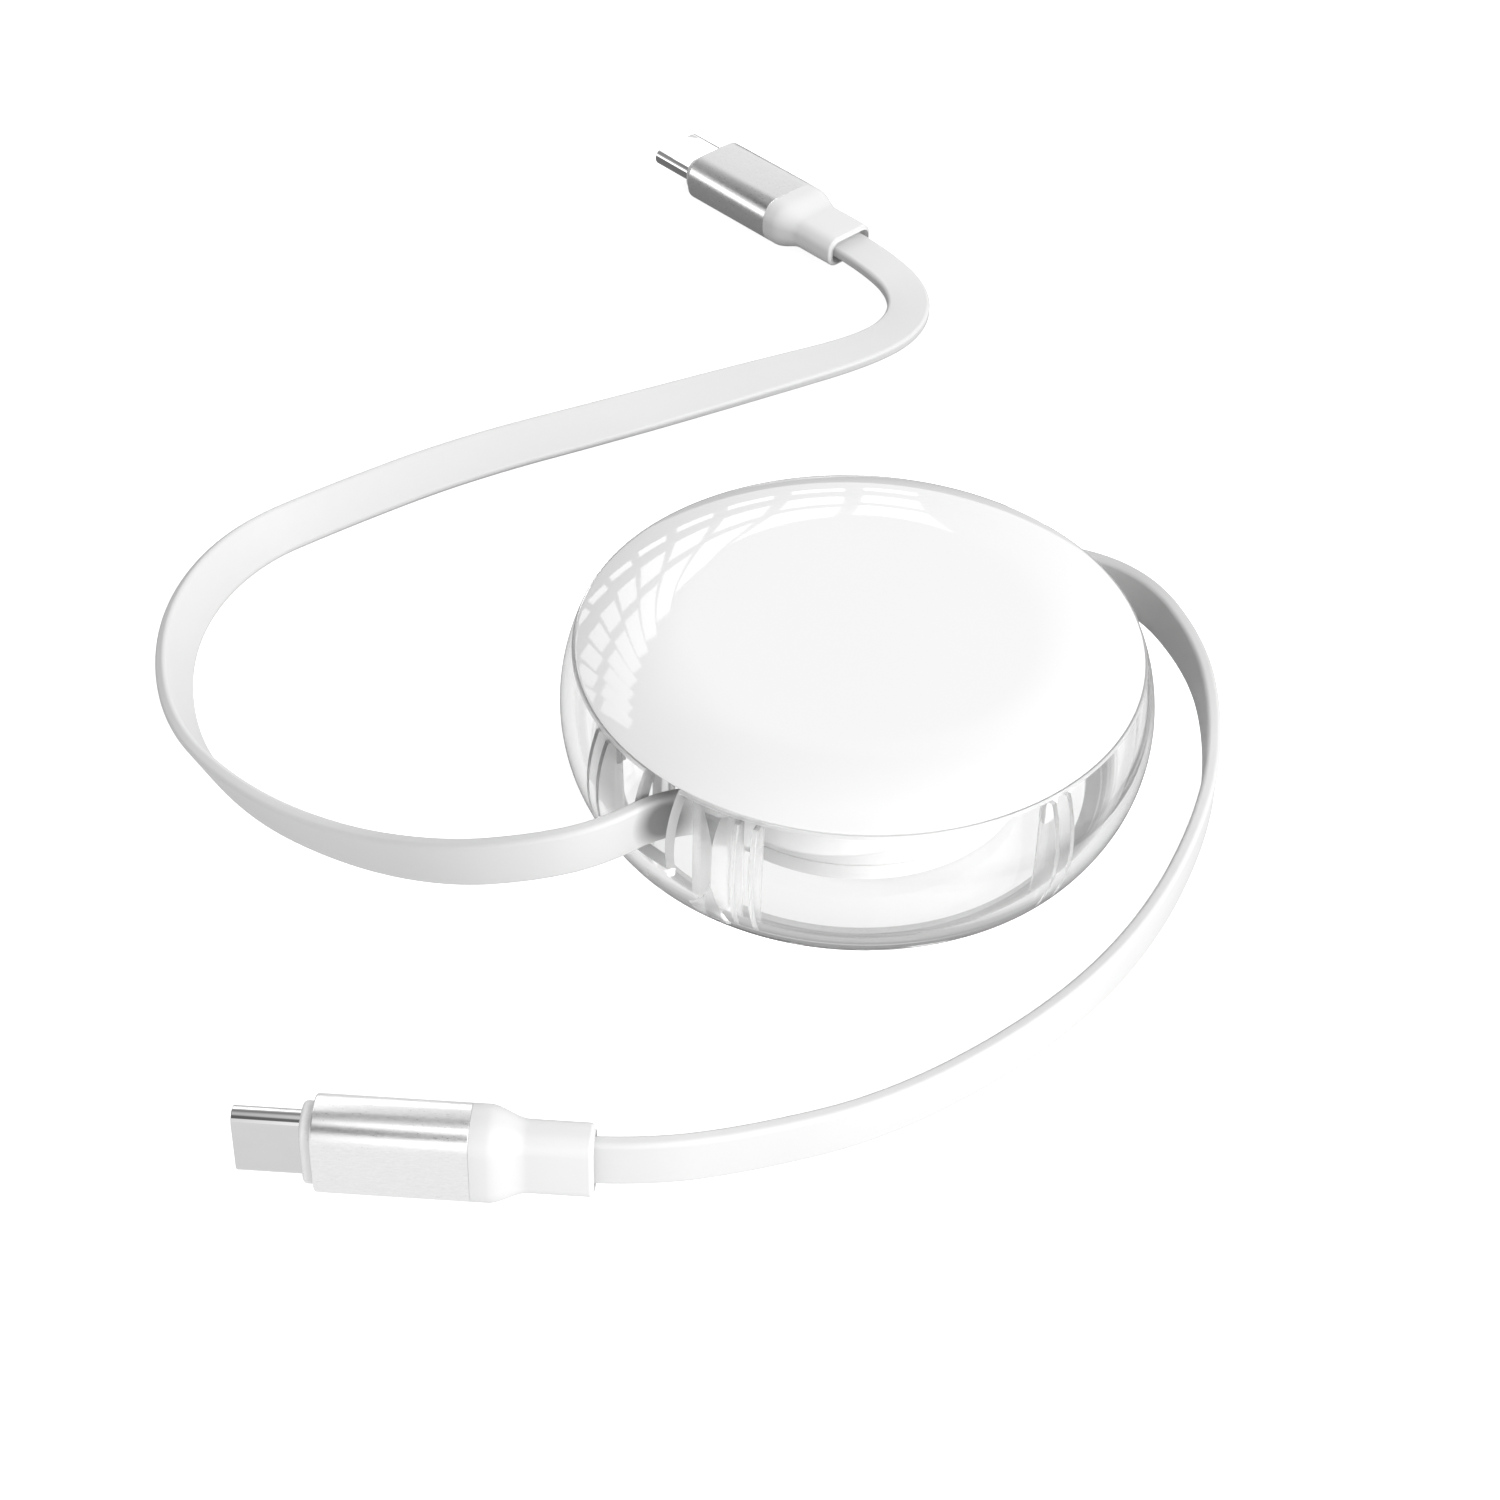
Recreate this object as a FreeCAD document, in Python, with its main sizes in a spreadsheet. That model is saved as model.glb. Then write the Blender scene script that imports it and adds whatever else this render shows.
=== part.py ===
import FreeCAD, Part
import Sketcher
import math
import os
import re

# Retractable charging cable: a round clear reel with a spring-driven spool, and two flat cables that
# leave it on opposite sides and end in plugs. Millimetres and degrees. The origin is the centre of the
# reel's base, +Z is up, and the free cables and the plugs lie on the plane z = 0.

# Driving dimensions
sizes = [
    # Reel case: a clear barrel-shaped lower shell and a shallow white cap
    ("reel_radius", 33.0),
    ("belly_height", 11.6),
    ("low_bulge", 17.6),
    ("high_bulge", 20.5),
    ("base_round", 4.5),
    ("seam_height", 19.4),
    ("case_wall", 1.6),
    ("case_floor", 2.0),
    ("cap_height", 22.2),
    ("crown_radius", 19.0),
    ("cap_wall", 1.6),
    ("lip_depth", 1.6),
    ("lip_wall", 1.2),
    # Ribs in pairs inside the wall, with a tab of the cap between each pair
    ("rib_depth", 2.4),
    ("rib_thickness", 0.6),
    ("rib_spacing", 2.1),
    ("rib_angle_one", 208.5),
    ("rib_angle_two", 247.5),
    ("rib_angle_three", 312.5),
    ("tab_width", 1.3),
    ("tab_length", 3.9),
    # Cable exits and their guides
    ("left_exit_angle", 227.6),
    ("left_lead_angle", 212.0),
    ("right_exit_angle", 49.3),
    ("right_lead_angle", 6.5),
    ("notch_clearance", 1.1),
    ("notch_play", 1.55),
    ("guide_radius", 1.2),
    ("guide_setback", 4.0),
    ("block_setback", 4.5),
    ("block_length", 3.0),
    # Clearances
    ("bond_gap", 0.05),
    ("fit_gap", 0.2),
    ("running_gap", 0.3),
    ("cable_fit", 0.05),
    ("head_gap", 1.4),
    # Spool, its axle and its spring
    ("post_radius", 3.6),
    ("hub_radius", 8.5),
    ("drum_radius", 19.6),
    ("drum_wall", 1.6),
    ("drum_roof", 0.7),
    ("cover_thickness", 2.0),
    ("flange_radius", 19.9),
    ("flange_thickness", 1.0),
    ("coil_radius", 20.0),
    ("spring_strip", 0.35),
    ("spring_turns", 6),
    ("washer_radius", 6.0),
    ("washer_thickness", 0.6),
    ("screw_radius", 1.0),
    ("screw_length", 7.0),
    ("head_radius", 1.9),
    ("head_height", 1.2),
    # Latch: a ball in a radial slot of the floor and two ring lanes under the spool
    ("ball_radius", 1.1),
    ("slot_floor", 0.8),
    ("lane_inner", 10.5),
    ("lane_outer", 14.3),
    ("lane_depth", 1.2),
    ("island_angle", 60.0),
    # Flat cable
    ("cable_width", 5.8),
    ("cable_thickness", 1.6),
    ("cable_entry", 2.5),
    # Plug
    ("shell_width", 8.25),
    ("shell_thickness", 2.4),
    ("shell_wall", 0.25),
    ("shell_reach", 6.8),
    ("shell_root", 4.0),
    ("housing_recess", 0.8),
    ("collar_length", 1.2),
    ("collar_width", 9.2),
    ("collar_thickness", 5.0),
    ("collar_corner", 2.1),
    ("sleeve_length", 15.4),
    ("sleeve_width", 10.6),
    ("sleeve_thickness", 6.6),
    ("sleeve_corner", 2.8),
    ("sleeve_wall", 0.55),
    ("boot_length", 11.8),
    ("boot_shoulder", 2.2),
    ("boot_taper", 2.9),
    ("neck_width", 8.2),
    ("neck_thickness", 4.4),
    ("neck_corner", 1.8),
    ("board_width", 6.4),
    ("board_thickness", 0.8),
    ("board_start", 3.5),
    ("board_grip", 1.5),
    ("contact_width", 0.25),
    ("contact_thickness", 0.12),
    ("contact_pitch", 0.5),
    ("contact_count", 12),
    # Where the rear end of each sleeve lies, and the way its plug points
    ("near_x", -37.66),
    ("near_y", -63.29),
    ("near_yaw", 177.3),
    ("far_x", -8.27),
    ("far_y", 116.1),
    ("far_yaw", 134.9),
]

# Places and sizes that follow from the driving dimensions
places = [
    ("heel_bulge", "low_bulge - base_round"),
    ("heel_run", "sqrt(heel_bulge ^ 2 - (belly_height - base_round) ^ 2)"),
    ("base_radius", "reel_radius - low_bulge + heel_run"),
    ("heel_radius", "reel_radius - low_bulge + low_bulge * heel_run / heel_bulge"),
    ("heel_height", "belly_height - low_bulge * (belly_height - base_round) / heel_bulge"),
    ("rim_rise", "seam_height - belly_height"),
    ("seam_radius", "reel_radius - high_bulge + sqrt(high_bulge ^ 2 - rim_rise ^ 2)"),
    ("inner_low_bulge", "low_bulge - case_wall"),
    ("inner_high_bulge", "high_bulge - case_wall"),
    ("inner_radius", "reel_radius - case_wall"),
    ("floor_drop", "belly_height - case_floor"),
    ("inner_floor_radius", "reel_radius - low_bulge + sqrt(inner_low_bulge ^ 2 - floor_drop ^ 2)"),
    ("inner_seam_radius", "reel_radius - high_bulge + sqrt(inner_high_bulge ^ 2 - rim_rise ^ 2)"),
    ("cap_drop", "cap_height - seam_height"),
    ("cap_run", "seam_radius - crown_radius"),
    ("cap_round", "(cap_run ^ 2 + cap_drop ^ 2) / (2 * cap_drop)"),
    ("inner_cap_round", "cap_round - cap_wall"),
    ("crown_inner", "cap_height - cap_wall"),
    ("lip_outer", "inner_seam_radius - fit_gap"),
    ("lip_inner", "lip_outer - lip_wall"),
    ("lip_run", "lip_inner - crown_radius"),
    ("lip_roof", "crown_inner - inner_cap_round + sqrt(inner_cap_round ^ 2 - lip_run ^ 2)"),
    ("lip_bottom", "seam_height - lip_depth"),
    ("head_top", "crown_inner - head_gap"),
    ("washer_top", "head_top - head_height"),
    ("post_top", "washer_top - washer_thickness"),
    ("flange_top", "post_top - fit_gap"),
    ("flange_low", "flange_top - flange_thickness"),
    ("coil_top", "flange_low - running_gap"),
    ("coil_low", "coil_top - cable_width"),
    ("drum_top", "coil_low - running_gap"),
    ("drum_inside", "drum_top - drum_roof"),
    ("cover_low", "case_floor + running_gap"),
    ("cover_top", "cover_low + cover_thickness"),
    ("spring_low", "cover_top + fit_gap"),
    ("spring_width", "drum_inside - fit_gap - spring_low"),
    ("chamber_radius", "drum_radius - drum_wall"),
    ("spool_bore", "post_radius + running_gap"),
    ("coil_bore", "hub_radius + bond_gap"),
    ("washer_bore", "screw_radius + bond_gap"),
    ("screw_tip", "washer_top - screw_length"),
    ("pilot_bottom", "screw_tip - fit_gap"),
    ("rib_inner", "inner_radius - rib_depth"),
    ("rib_top", "lip_bottom - running_gap"),
    ("notch_width", "cable_thickness + 2 * notch_play"),
    ("lane_half", "ball_radius + fit_gap"),
    ("groove_inner", "lane_inner - lane_half"),
    ("groove_outer", "lane_outer + lane_half"),
    ("island_inner", "lane_inner + lane_half"),
    ("island_outer", "lane_outer - lane_half"),
    ("groove_top", "cover_low + lane_depth"),
    ("ball_height", "slot_floor + ball_radius + bond_gap"),
    ("collar_front", "sleeve_length + collar_length"),
    ("shell_back", "sleeve_length - shell_root"),
    ("shell_tip", "collar_front + shell_reach"),
    ("housing_front", "shell_tip - housing_recess"),
    ("board_front", "shell_back + board_grip"),
    ("slot_height", "board_thickness + 2 * contact_thickness + 2 * bond_gap"),
    ("slot_width", "contact_pitch * (contact_count + 1)"),
    ("boot_end", "-boot_length"),
    ("lead_back", "cable_entry - boot_length"),
    ("lead_front", "board_start - bond_gap"),
]

doc = FreeCAD.newDocument("RetractableCable")
sizeSheet = doc.addObject("Spreadsheet::Sheet", "Sizes")
placeSheet = doc.addObject("Spreadsheet::Sheet", "Places")
sizeNames = set()
placeNames = set()


def link(text, home=None):
    # The words of an expression that name a cell, each with the sheet that holds it
    def owner(match):
        word = match.group(0)
        if word in sizeNames:
            return "Sizes." + word
        if word in placeNames:
            return word if home == "Places" else "Places." + word
        return word
    return re.sub(r"[a-z_]+", owner, text)


def addPlace(name, text):
    row = len(placeNames) + 1
    placeSheet.set("A%d" % row, name)
    placeSheet.set("B%d" % row, "=" + link(text, "Places"))
    placeSheet.setAlias("B%d" % row, name)
    placeNames.add(name)


for row, (name, amount) in enumerate(sizes, 1):
    sizeSheet.set("A%d" % row, name)
    sizeSheet.set("B%d" % row, str(amount))
    sizeSheet.setAlias("B%d" % row, name)
    sizeNames.add(name)
for name, text in places:
    addPlace(name, text)


def addSection(name, width, thickness, corner):
    # Half sizes of a section across the plug: side and top at its edges, flat and wall where the corners start
    addPlace(name + "_side", "(%s) / 2" % width)
    addPlace(name + "_top", "(%s) / 2" % thickness)
    addPlace(name + "_round", corner)
    addPlace(name + "_flat", "%s_side - %s_round" % (name, name))
    addPlace(name + "_wall", "%s_top - %s_round" % (name, name))


addSection("sleeve", "sleeve_width", "sleeve_thickness", "sleeve_corner")
addSection("hollow", "sleeve_width - 2 * sleeve_wall", "sleeve_thickness - 2 * sleeve_wall",
           "sleeve_corner - sleeve_wall")
addSection("core", "2 * (hollow_side - bond_gap)", "2 * (hollow_top - bond_gap)", "hollow_round - bond_gap")
addSection("collar", "collar_width", "collar_thickness", "collar_corner")
addSection("shell", "shell_width", "shell_thickness", "shell_thickness / 2")
addSection("seat", "shell_width + 2 * bond_gap", "shell_thickness + 2 * bond_gap", "shell_thickness / 2 + bond_gap")
addSection("mouth", "shell_width - 2 * shell_wall", "shell_thickness - 2 * shell_wall",
           "shell_thickness / 2 - shell_wall")
addSection("housing", "2 * (mouth_side - bond_gap)", "2 * (mouth_top - bond_gap)", "mouth_round - bond_gap")
addSection("slot", "slot_width", "slot_height", "bond_gap")
addSection("board", "board_width", "board_thickness", "bond_gap")
addSection("bay", "board_width + 2 * fit_gap", "shell_thickness", "bond_gap")
addSection("lead", "cable_width", "cable_thickness", "bond_gap")
addSection("throat", "cable_width + 2 * cable_fit", "cable_thickness + 2 * cable_fit", "bond_gap")
addSection("neck", "neck_width", "neck_thickness", "neck_corner")

# Steps of the boot from the sleeve's section down to the neck's, on an S-shaped fall
taperSteps = 5
bootSections = [("sleeve", "0")]
for step in range(taperSteps + 1):
    along = step / taperSteps
    share = along * along * (3 - 2 * along)
    name = "taper" + "abcdefghij"[step]
    blend = [("%%s + %.4f * (%%s - %%s)" % share) % (big, small, big) for big, small in (
        ("sleeve_width", "neck_width"), ("sleeve_thickness", "neck_thickness"), ("sleeve_corner", "neck_corner"))]
    addSection(name, *blend)
    addPlace(name + "_place", "-boot_shoulder - %.4f * boot_taper" % along)
    bootSections.append((name, name + "_place"))
bootSections.append(("neck", "boot_end"))
doc.recompute()


def number(text):
    # A cell's value; a leading minus turns its sign
    if text == "0":
        return 0.0
    if text.startswith("-"):
        return -number(text[1:])
    return float((sizeSheet if text in sizeNames else placeSheet).get(text))


# Sketches, bodies and booleans

def shortArc(start, finish, radius, turn):
    # Arc from start to finish that turns left or right, under half a circle
    chord = finish - start
    aside = FreeCAD.Vector(-chord.y, chord.x, 0) / chord.Length
    reach = math.sqrt(radius ** 2 - chord.Length ** 2 / 4)
    centre = (start + finish) / 2 + aside * (reach if turn == "left" else -reach)
    first, last = (start, finish) if turn == "left" else (finish, start)
    angles = [math.atan2(spot.y - centre.y, spot.x - centre.x) for spot in (first, last)]
    if angles[1] < angles[0]:
        angles[1] += 2 * math.pi
    return Part.ArcOfCircle(Part.Circle(centre, FreeCAD.Vector(0, 0, 1), radius), *angles)


def pinCorner(sketch, kind, geometry, point, text):
    if text == "0":
        axis = -2 if kind == "DistanceX" else -1
        sketch.addConstraint(Sketcher.Constraint("PointOnObject", geometry, point, axis))
        return
    index = sketch.addConstraint(Sketcher.Constraint(kind, -1, 1, geometry, point, number(text)))
    sketch.setExpression("Constraints[%d]" % index, link(text))


def drawLoop(sketch, corners):
    # Each corner is (x, y), straight on to the next, or (x, y, turn, radius), on an arc to the next
    first = sketch.GeometryCount
    spots = [FreeCAD.Vector(number(corner[0]), number(corner[1]), 0) for corner in corners]
    ends = []
    for index, corner in enumerate(corners):
        finish = spots[(index + 1) % len(corners)]
        if len(corner) == 2:
            sketch.addGeometry(Part.LineSegment(spots[index], finish))
        else:
            sketch.addGeometry(shortArc(spots[index], finish, number(corner[3]), corner[2]))
        ends.append((2, 1) if "right" in corner else (1, 2))
    for index, corner in enumerate(corners):
        after = (index + 1) % len(corners)
        meet = (first + index, ends[index][1], first + after, ends[after][0])
        sketch.addConstraint(Sketcher.Constraint("Coincident", *meet))
        pinCorner(sketch, "DistanceX", first + index, ends[index][0], corner[0])
        pinCorner(sketch, "DistanceY", first + index, ends[index][0], corner[1])
        if len(corner) == 4:
            radius = sketch.addConstraint(Sketcher.Constraint("Radius", first + index, number(corner[3])))
            sketch.setExpression("Constraints[%d]" % radius, link(corner[3]))


def addSketch(body, name, plane, loops, offset="0"):
    sketch = body.newObject("Sketcher::SketchObject", name)
    support = [item for item in body.Origin.OriginFeatures if item.Role == plane][0]
    sketch.AttachmentSupport = [(support, "")]
    sketch.MapMode = "FlatFace"
    if offset != "0":
        sketch.setExpression("AttachmentOffset.Base.z", link(offset))
    for loop in loops:
        drawLoop(sketch, loop)
    return sketch


def addBody(label):
    body = doc.addObject("PartDesign::Body", label)
    body.Label = label
    return body


def turned(label, corners):
    # A profile of (radius, height) corners, turned about the Z axis
    body = addBody(label)
    sketch = addSketch(body, label + "_profile", "XZ_Plane", [corners])
    solid = body.newObject("PartDesign::Revolution", label + "_turned")
    solid.Profile = sketch
    solid.ReferenceAxis = (sketch, ["V_Axis"])
    solid.Angle = 360
    return body


def combine(kind, label, shapes):
    joined = doc.addObject(kind, label)
    joined.Label = label
    joined.Shapes = shapes
    return joined


def cutAway(label, base, tools):
    tool = tools[0] if len(tools) == 1 else combine("Part::MultiFuse", label + "_tools", tools)
    left = doc.addObject("Part::Cut", label)
    left.Label = label
    left.Base = base
    left.Tool = tool
    return left


def turnedBox(name, angle, radial, across, upright):
    # A box whose length runs out along a compass angle; each of its ranges is (start, size)
    box = doc.addObject("Part::Box", name)
    for side, (start, extent) in zip(("Length", "Width", "Height"), (radial, across, upright)):
        box.setExpression(side, link(extent))
    turn = link("(%s) * 1 deg" % angle)
    out, aside = link("(%s)" % radial[0]), link("(%s)" % across[0])
    box.setExpression("Placement.Base.x", "%s * cos(%s) - %s * sin(%s)" % (out, turn, aside, turn))
    box.setExpression("Placement.Base.y", "%s * sin(%s) + %s * cos(%s)" % (out, turn, aside, turn))
    box.setExpression("Placement.Base.z", link(upright[0]))
    box.Placement.Rotation.Axis = FreeCAD.Vector(0, 0, 1)
    box.setExpression("Placement.Rotation.Angle", turn)
    return box


def turnedCylinder(name, angle, out, aside, radius, upright):
    rod = doc.addObject("Part::Cylinder", name)
    rod.setExpression("Radius", link(radius))
    rod.setExpression("Height", link(upright[1]))
    turn = link("(%s) * 1 deg" % angle)
    out, aside = link("(%s)" % out), link("(%s)" % aside)
    rod.setExpression("Placement.Base.x", "%s * cos(%s) - %s * sin(%s)" % (out, turn, aside, turn))
    rod.setExpression("Placement.Base.y", "%s * sin(%s) + %s * cos(%s)" % (out, turn, aside, turn))
    rod.setExpression("Placement.Base.z", link(upright[0]))
    return rod


nodes = []

# Reel case. Each notch passes the wall at its exit angle on a line that points along its lead angle.
halfTurns = ("0", "180")
ribAngles = ["%s + %s" % (rib, half) for half in halfTurns
             for rib in ("rib_angle_one", "rib_angle_two", "rib_angle_three")]
outerWall = [
    ("base_radius", "0", "left", "base_round"),
    ("heel_radius", "heel_height", "left", "low_bulge"),
    ("reel_radius", "belly_height", "left", "high_bulge"),
    ("seam_radius", "seam_height"),
]
innerWall = [
    ("inner_seam_radius", "seam_height", "right", "inner_high_bulge"),
    ("inner_radius", "belly_height", "right", "inner_low_bulge"),
    ("inner_floor_radius", "case_floor"),
]
bowl = turned("case_bowl", [("0", "0")] + outerWall + innerWall + [
    ("post_radius", "case_floor"),
    ("post_radius", "post_top"),
    ("screw_radius", "post_top"),
    ("screw_radius", "pilot_bottom"),
    ("0", "pilot_bottom"),
])
blank = turned("case_blank", [("0", "0")] + outerWall + [("0", "seam_height")])
ribs = []
for angle in ribAngles:
    for side in (-1, 1):
        across = "%d * rib_spacing / 2 - rib_thickness / 2" % side
        ribs.append(turnedBox("rib", angle, ("rib_inner", "case_wall + rib_depth"), (across, "rib_thickness"),
                              ("case_floor", "rib_top - case_floor")))
notches = []
for side in ("left", "right"):
    lead = side + "_lead_angle"
    along, across = ("(reel_radius * %s((%s_exit_angle - %s) * 1 deg))" % (share, side, lead)
                     for share in ("cos", "sin"))
    inside = across + " - notch_width / 2"
    ribs.append(turnedCylinder("guide_post", lead, along + " - guide_setback", inside + " - guide_radius",
                               "guide_radius", ("0", "rib_top")))
    ribs.append(turnedBox("guide_block", lead, (along + " - block_setback - block_length", "block_length"),
                          (across + " + notch_width / 2", "rib_depth + case_wall"), ("0", "rib_top")))
    notches.append(turnedBox("notch", lead, (along + " - guide_setback", "reel_radius"),
                             (inside, "notch_width"), ("coil_low - notch_clearance", "seam_height")))
innerRibs = doc.addObject("Part::Common", "case_ribs")
innerRibs.Base = blank
innerRibs.Tool = combine("Part::MultiFuse", "rib_stock", ribs)
ballSlot = turnedBox("ball_slot", "90", ("groove_inner", "groove_outer - groove_inner"),
                     ("-lane_half", "2 * lane_half"), ("slot_floor", "case_floor"))
caseBody = combine("Part::MultiFuse", "case_body", [bowl, innerRibs])
nodes.append(cutAway("lower_case", caseBody, notches + [ballSlot]))

capShell = turned("cap_shell", [
    ("0", "crown_inner"),
    ("crown_radius", "crown_inner", "right", "inner_cap_round"),
    ("lip_inner", "lip_roof"),
    ("lip_inner", "lip_bottom"),
    ("lip_outer", "lip_bottom"),
    ("lip_outer", "seam_height"),
    ("seam_radius", "seam_height", "left", "cap_round"),
    ("crown_radius", "cap_height"),
    ("0", "cap_height"),
])
tabs = [turnedBox("tab", angle, ("lip_inner", "lip_wall"), ("-tab_width / 2", "tab_width"),
                  ("lip_bottom - tab_length", "tab_length + lip_depth / 2")) for angle in ribAngles]
nodes.append(combine("Part::MultiFuse", "upper_case", [capShell] + tabs))

# Spool: a drum that holds the spring, with the winding hub and its top flange above
nodes.append(turned("spool", [
    ("spool_bore", "drum_inside"),
    ("chamber_radius", "drum_inside"),
    ("chamber_radius", "cover_top"),
    ("drum_radius", "cover_top"),
    ("drum_radius", "drum_top"),
    ("hub_radius", "drum_top"),
    ("hub_radius", "flange_low"),
    ("flange_radius", "flange_low"),
    ("flange_radius", "flange_top"),
    ("spool_bore", "flange_top"),
]))

# Cover under the drum, with two ring lanes for the ball and islands between them
plate = turned("cover_plate", [
    ("spool_bore", "cover_low"),
    ("groove_inner", "cover_low"),
    ("groove_inner", "groove_top"),
    ("groove_outer", "groove_top"),
    ("groove_outer", "cover_low"),
    ("drum_radius", "cover_low"),
    ("drum_radius", "cover_top"),
    ("spool_bore", "cover_top"),
])
islands = []
islandCount = 4
for index in range(islandCount):
    wedges = []
    for radius in ("island_outer", "island_inner"):
        wedge = doc.addObject("Part::Cylinder", "island_" + radius[7:])
        wedge.setExpression("Radius", link(radius))
        wedge.setExpression("Height", link("lane_depth"))
        wedge.setExpression("Placement.Base.z", link("cover_low"))
        wedge.setExpression("Angle", link("island_angle"))
        wedge.Placement.Rotation.Axis = FreeCAD.Vector(0, 0, 1)
        start = "(%d - island_angle / 2) * 1 deg" % (45 + index * 360 / islandCount)
        wedge.setExpression("Placement.Rotation.Angle", link(start))
        wedges.append(wedge)
    islands.append(cutAway("island", wedges[0], wedges[1:]))
nodes.append(combine("Part::MultiFuse", "spool_cover", [plate] + islands))

nodes.append(turned("wound_cable", [
    ("coil_bore", "coil_low"),
    ("coil_radius", "coil_low"),
    ("coil_radius", "coil_top"),
    ("coil_bore", "coil_top"),
]))

nodes.append(turned("axle_washer", [
    ("washer_bore", "post_top"),
    ("washer_radius", "post_top"),
    ("washer_radius", "washer_top"),
    ("washer_bore", "washer_top"),
]))
nodes.append(turned("axle_screw", [
    ("0", "screw_tip"),
    ("screw_radius", "screw_tip"),
    ("screw_radius", "washer_top"),
    ("head_radius", "washer_top"),
    ("head_radius", "head_top"),
    ("0", "head_top"),
]))

ball = doc.addObject("Part::Sphere", "latch_ball")
ball.Label = "latch_ball"
ball.setExpression("Radius", link("ball_radius"))
ball.setExpression("Placement.Base.y", link("lane_inner"))
ball.setExpression("Placement.Base.z", link("ball_height"))
nodes.append(ball)


def springShape():
    # Half circles whose radius grows by half a pitch each time; their centres alternate so that they meet
    strip = number("spring_strip")
    halves = 2 * int(number("spring_turns"))
    innermost = number("post_radius") + number("fit_gap")
    outermost = number("chamber_radius") - number("fit_gap") - strip
    growth = (outermost - innermost) / halves
    rows = ([], [])
    for index in range(halves):
        sign = 1 if index % 2 == 0 else -1
        centre = 0.0 if sign > 0 else growth
        for row, extra in zip(rows, (0.0, strip)):
            reach = innermost + index * growth + extra
            spots = [FreeCAD.Vector(centre + reach * x, reach * y, 0)
                     for x, y in ((sign, 0), (0, sign), (-sign, 0))]
            row.append(Part.Arc(*spots))
    ends = [Part.LineSegment(rows[0][0].StartPoint, rows[1][0].StartPoint),
            Part.LineSegment(rows[0][-1].EndPoint, rows[1][-1].EndPoint)]
    edges = [curve.toShape() for curve in rows[0] + rows[1] + ends]
    outline = Part.Wire(Part.__sortEdges__(edges))
    return Part.Face(outline).extrude(FreeCAD.Vector(0, 0, number("spring_width")))


spring = doc.addObject("Part::Feature", "power_spring")
spring.Label = "power_spring"
spring.Shape = springShape()
spring.Placement.Base = FreeCAD.Vector(0, 0, number("spring_low"))
nodes.append(spring)


# Plugs, in their own axes: X from the rear end of the sleeve to the tip, Y across the broad side

def roundedLoop(name):
    side, top, flat, wall = (name + end for end in ("_side", "_top", "_flat", "_wall"))
    turn = ("left", name + "_round")
    return [
        ("-" + flat, "-" + top), (flat, "-" + top) + turn,
        (side, "-" + wall), (side, wall) + turn,
        (flat, top), ("-" + flat, top) + turn,
        ("-" + side, wall), ("-" + side, "-" + wall) + turn,
    ]


def ovalLoop(name):
    # As above with ends that are half circles, each of two quarter arcs
    side, top, flat = (name + end for end in ("_side", "_top", "_flat"))
    turn = ("left", name + "_round")
    return [
        ("-" + flat, "-" + top), (flat, "-" + top) + turn, (side, "0") + turn,
        (flat, top), ("-" + flat, top) + turn, ("-" + side, "0") + turn,
    ]


def padAlong(body, name, loops, start, finish):
    sketch = addSketch(body, name + "_sketch", "YZ_Plane", loops, start)
    pad = body.newObject("PartDesign::Pad", name)
    pad.Profile = sketch
    pad.setExpression("Length", link("%s - (%s)" % (finish, start)))
    return pad


def pocketAlong(body, name, loops, start, finish):
    # A hollow from the plane at start on towards the tip
    sketch = addSketch(body, name + "_sketch", "YZ_Plane", loops, start)
    pocket = body.newObject("PartDesign::Pocket", name)
    pocket.Profile = sketch
    pocket.Reversed = True
    pocket.setExpression("Length", link("%s - (%s)" % (finish, start)))
    return pocket


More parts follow.
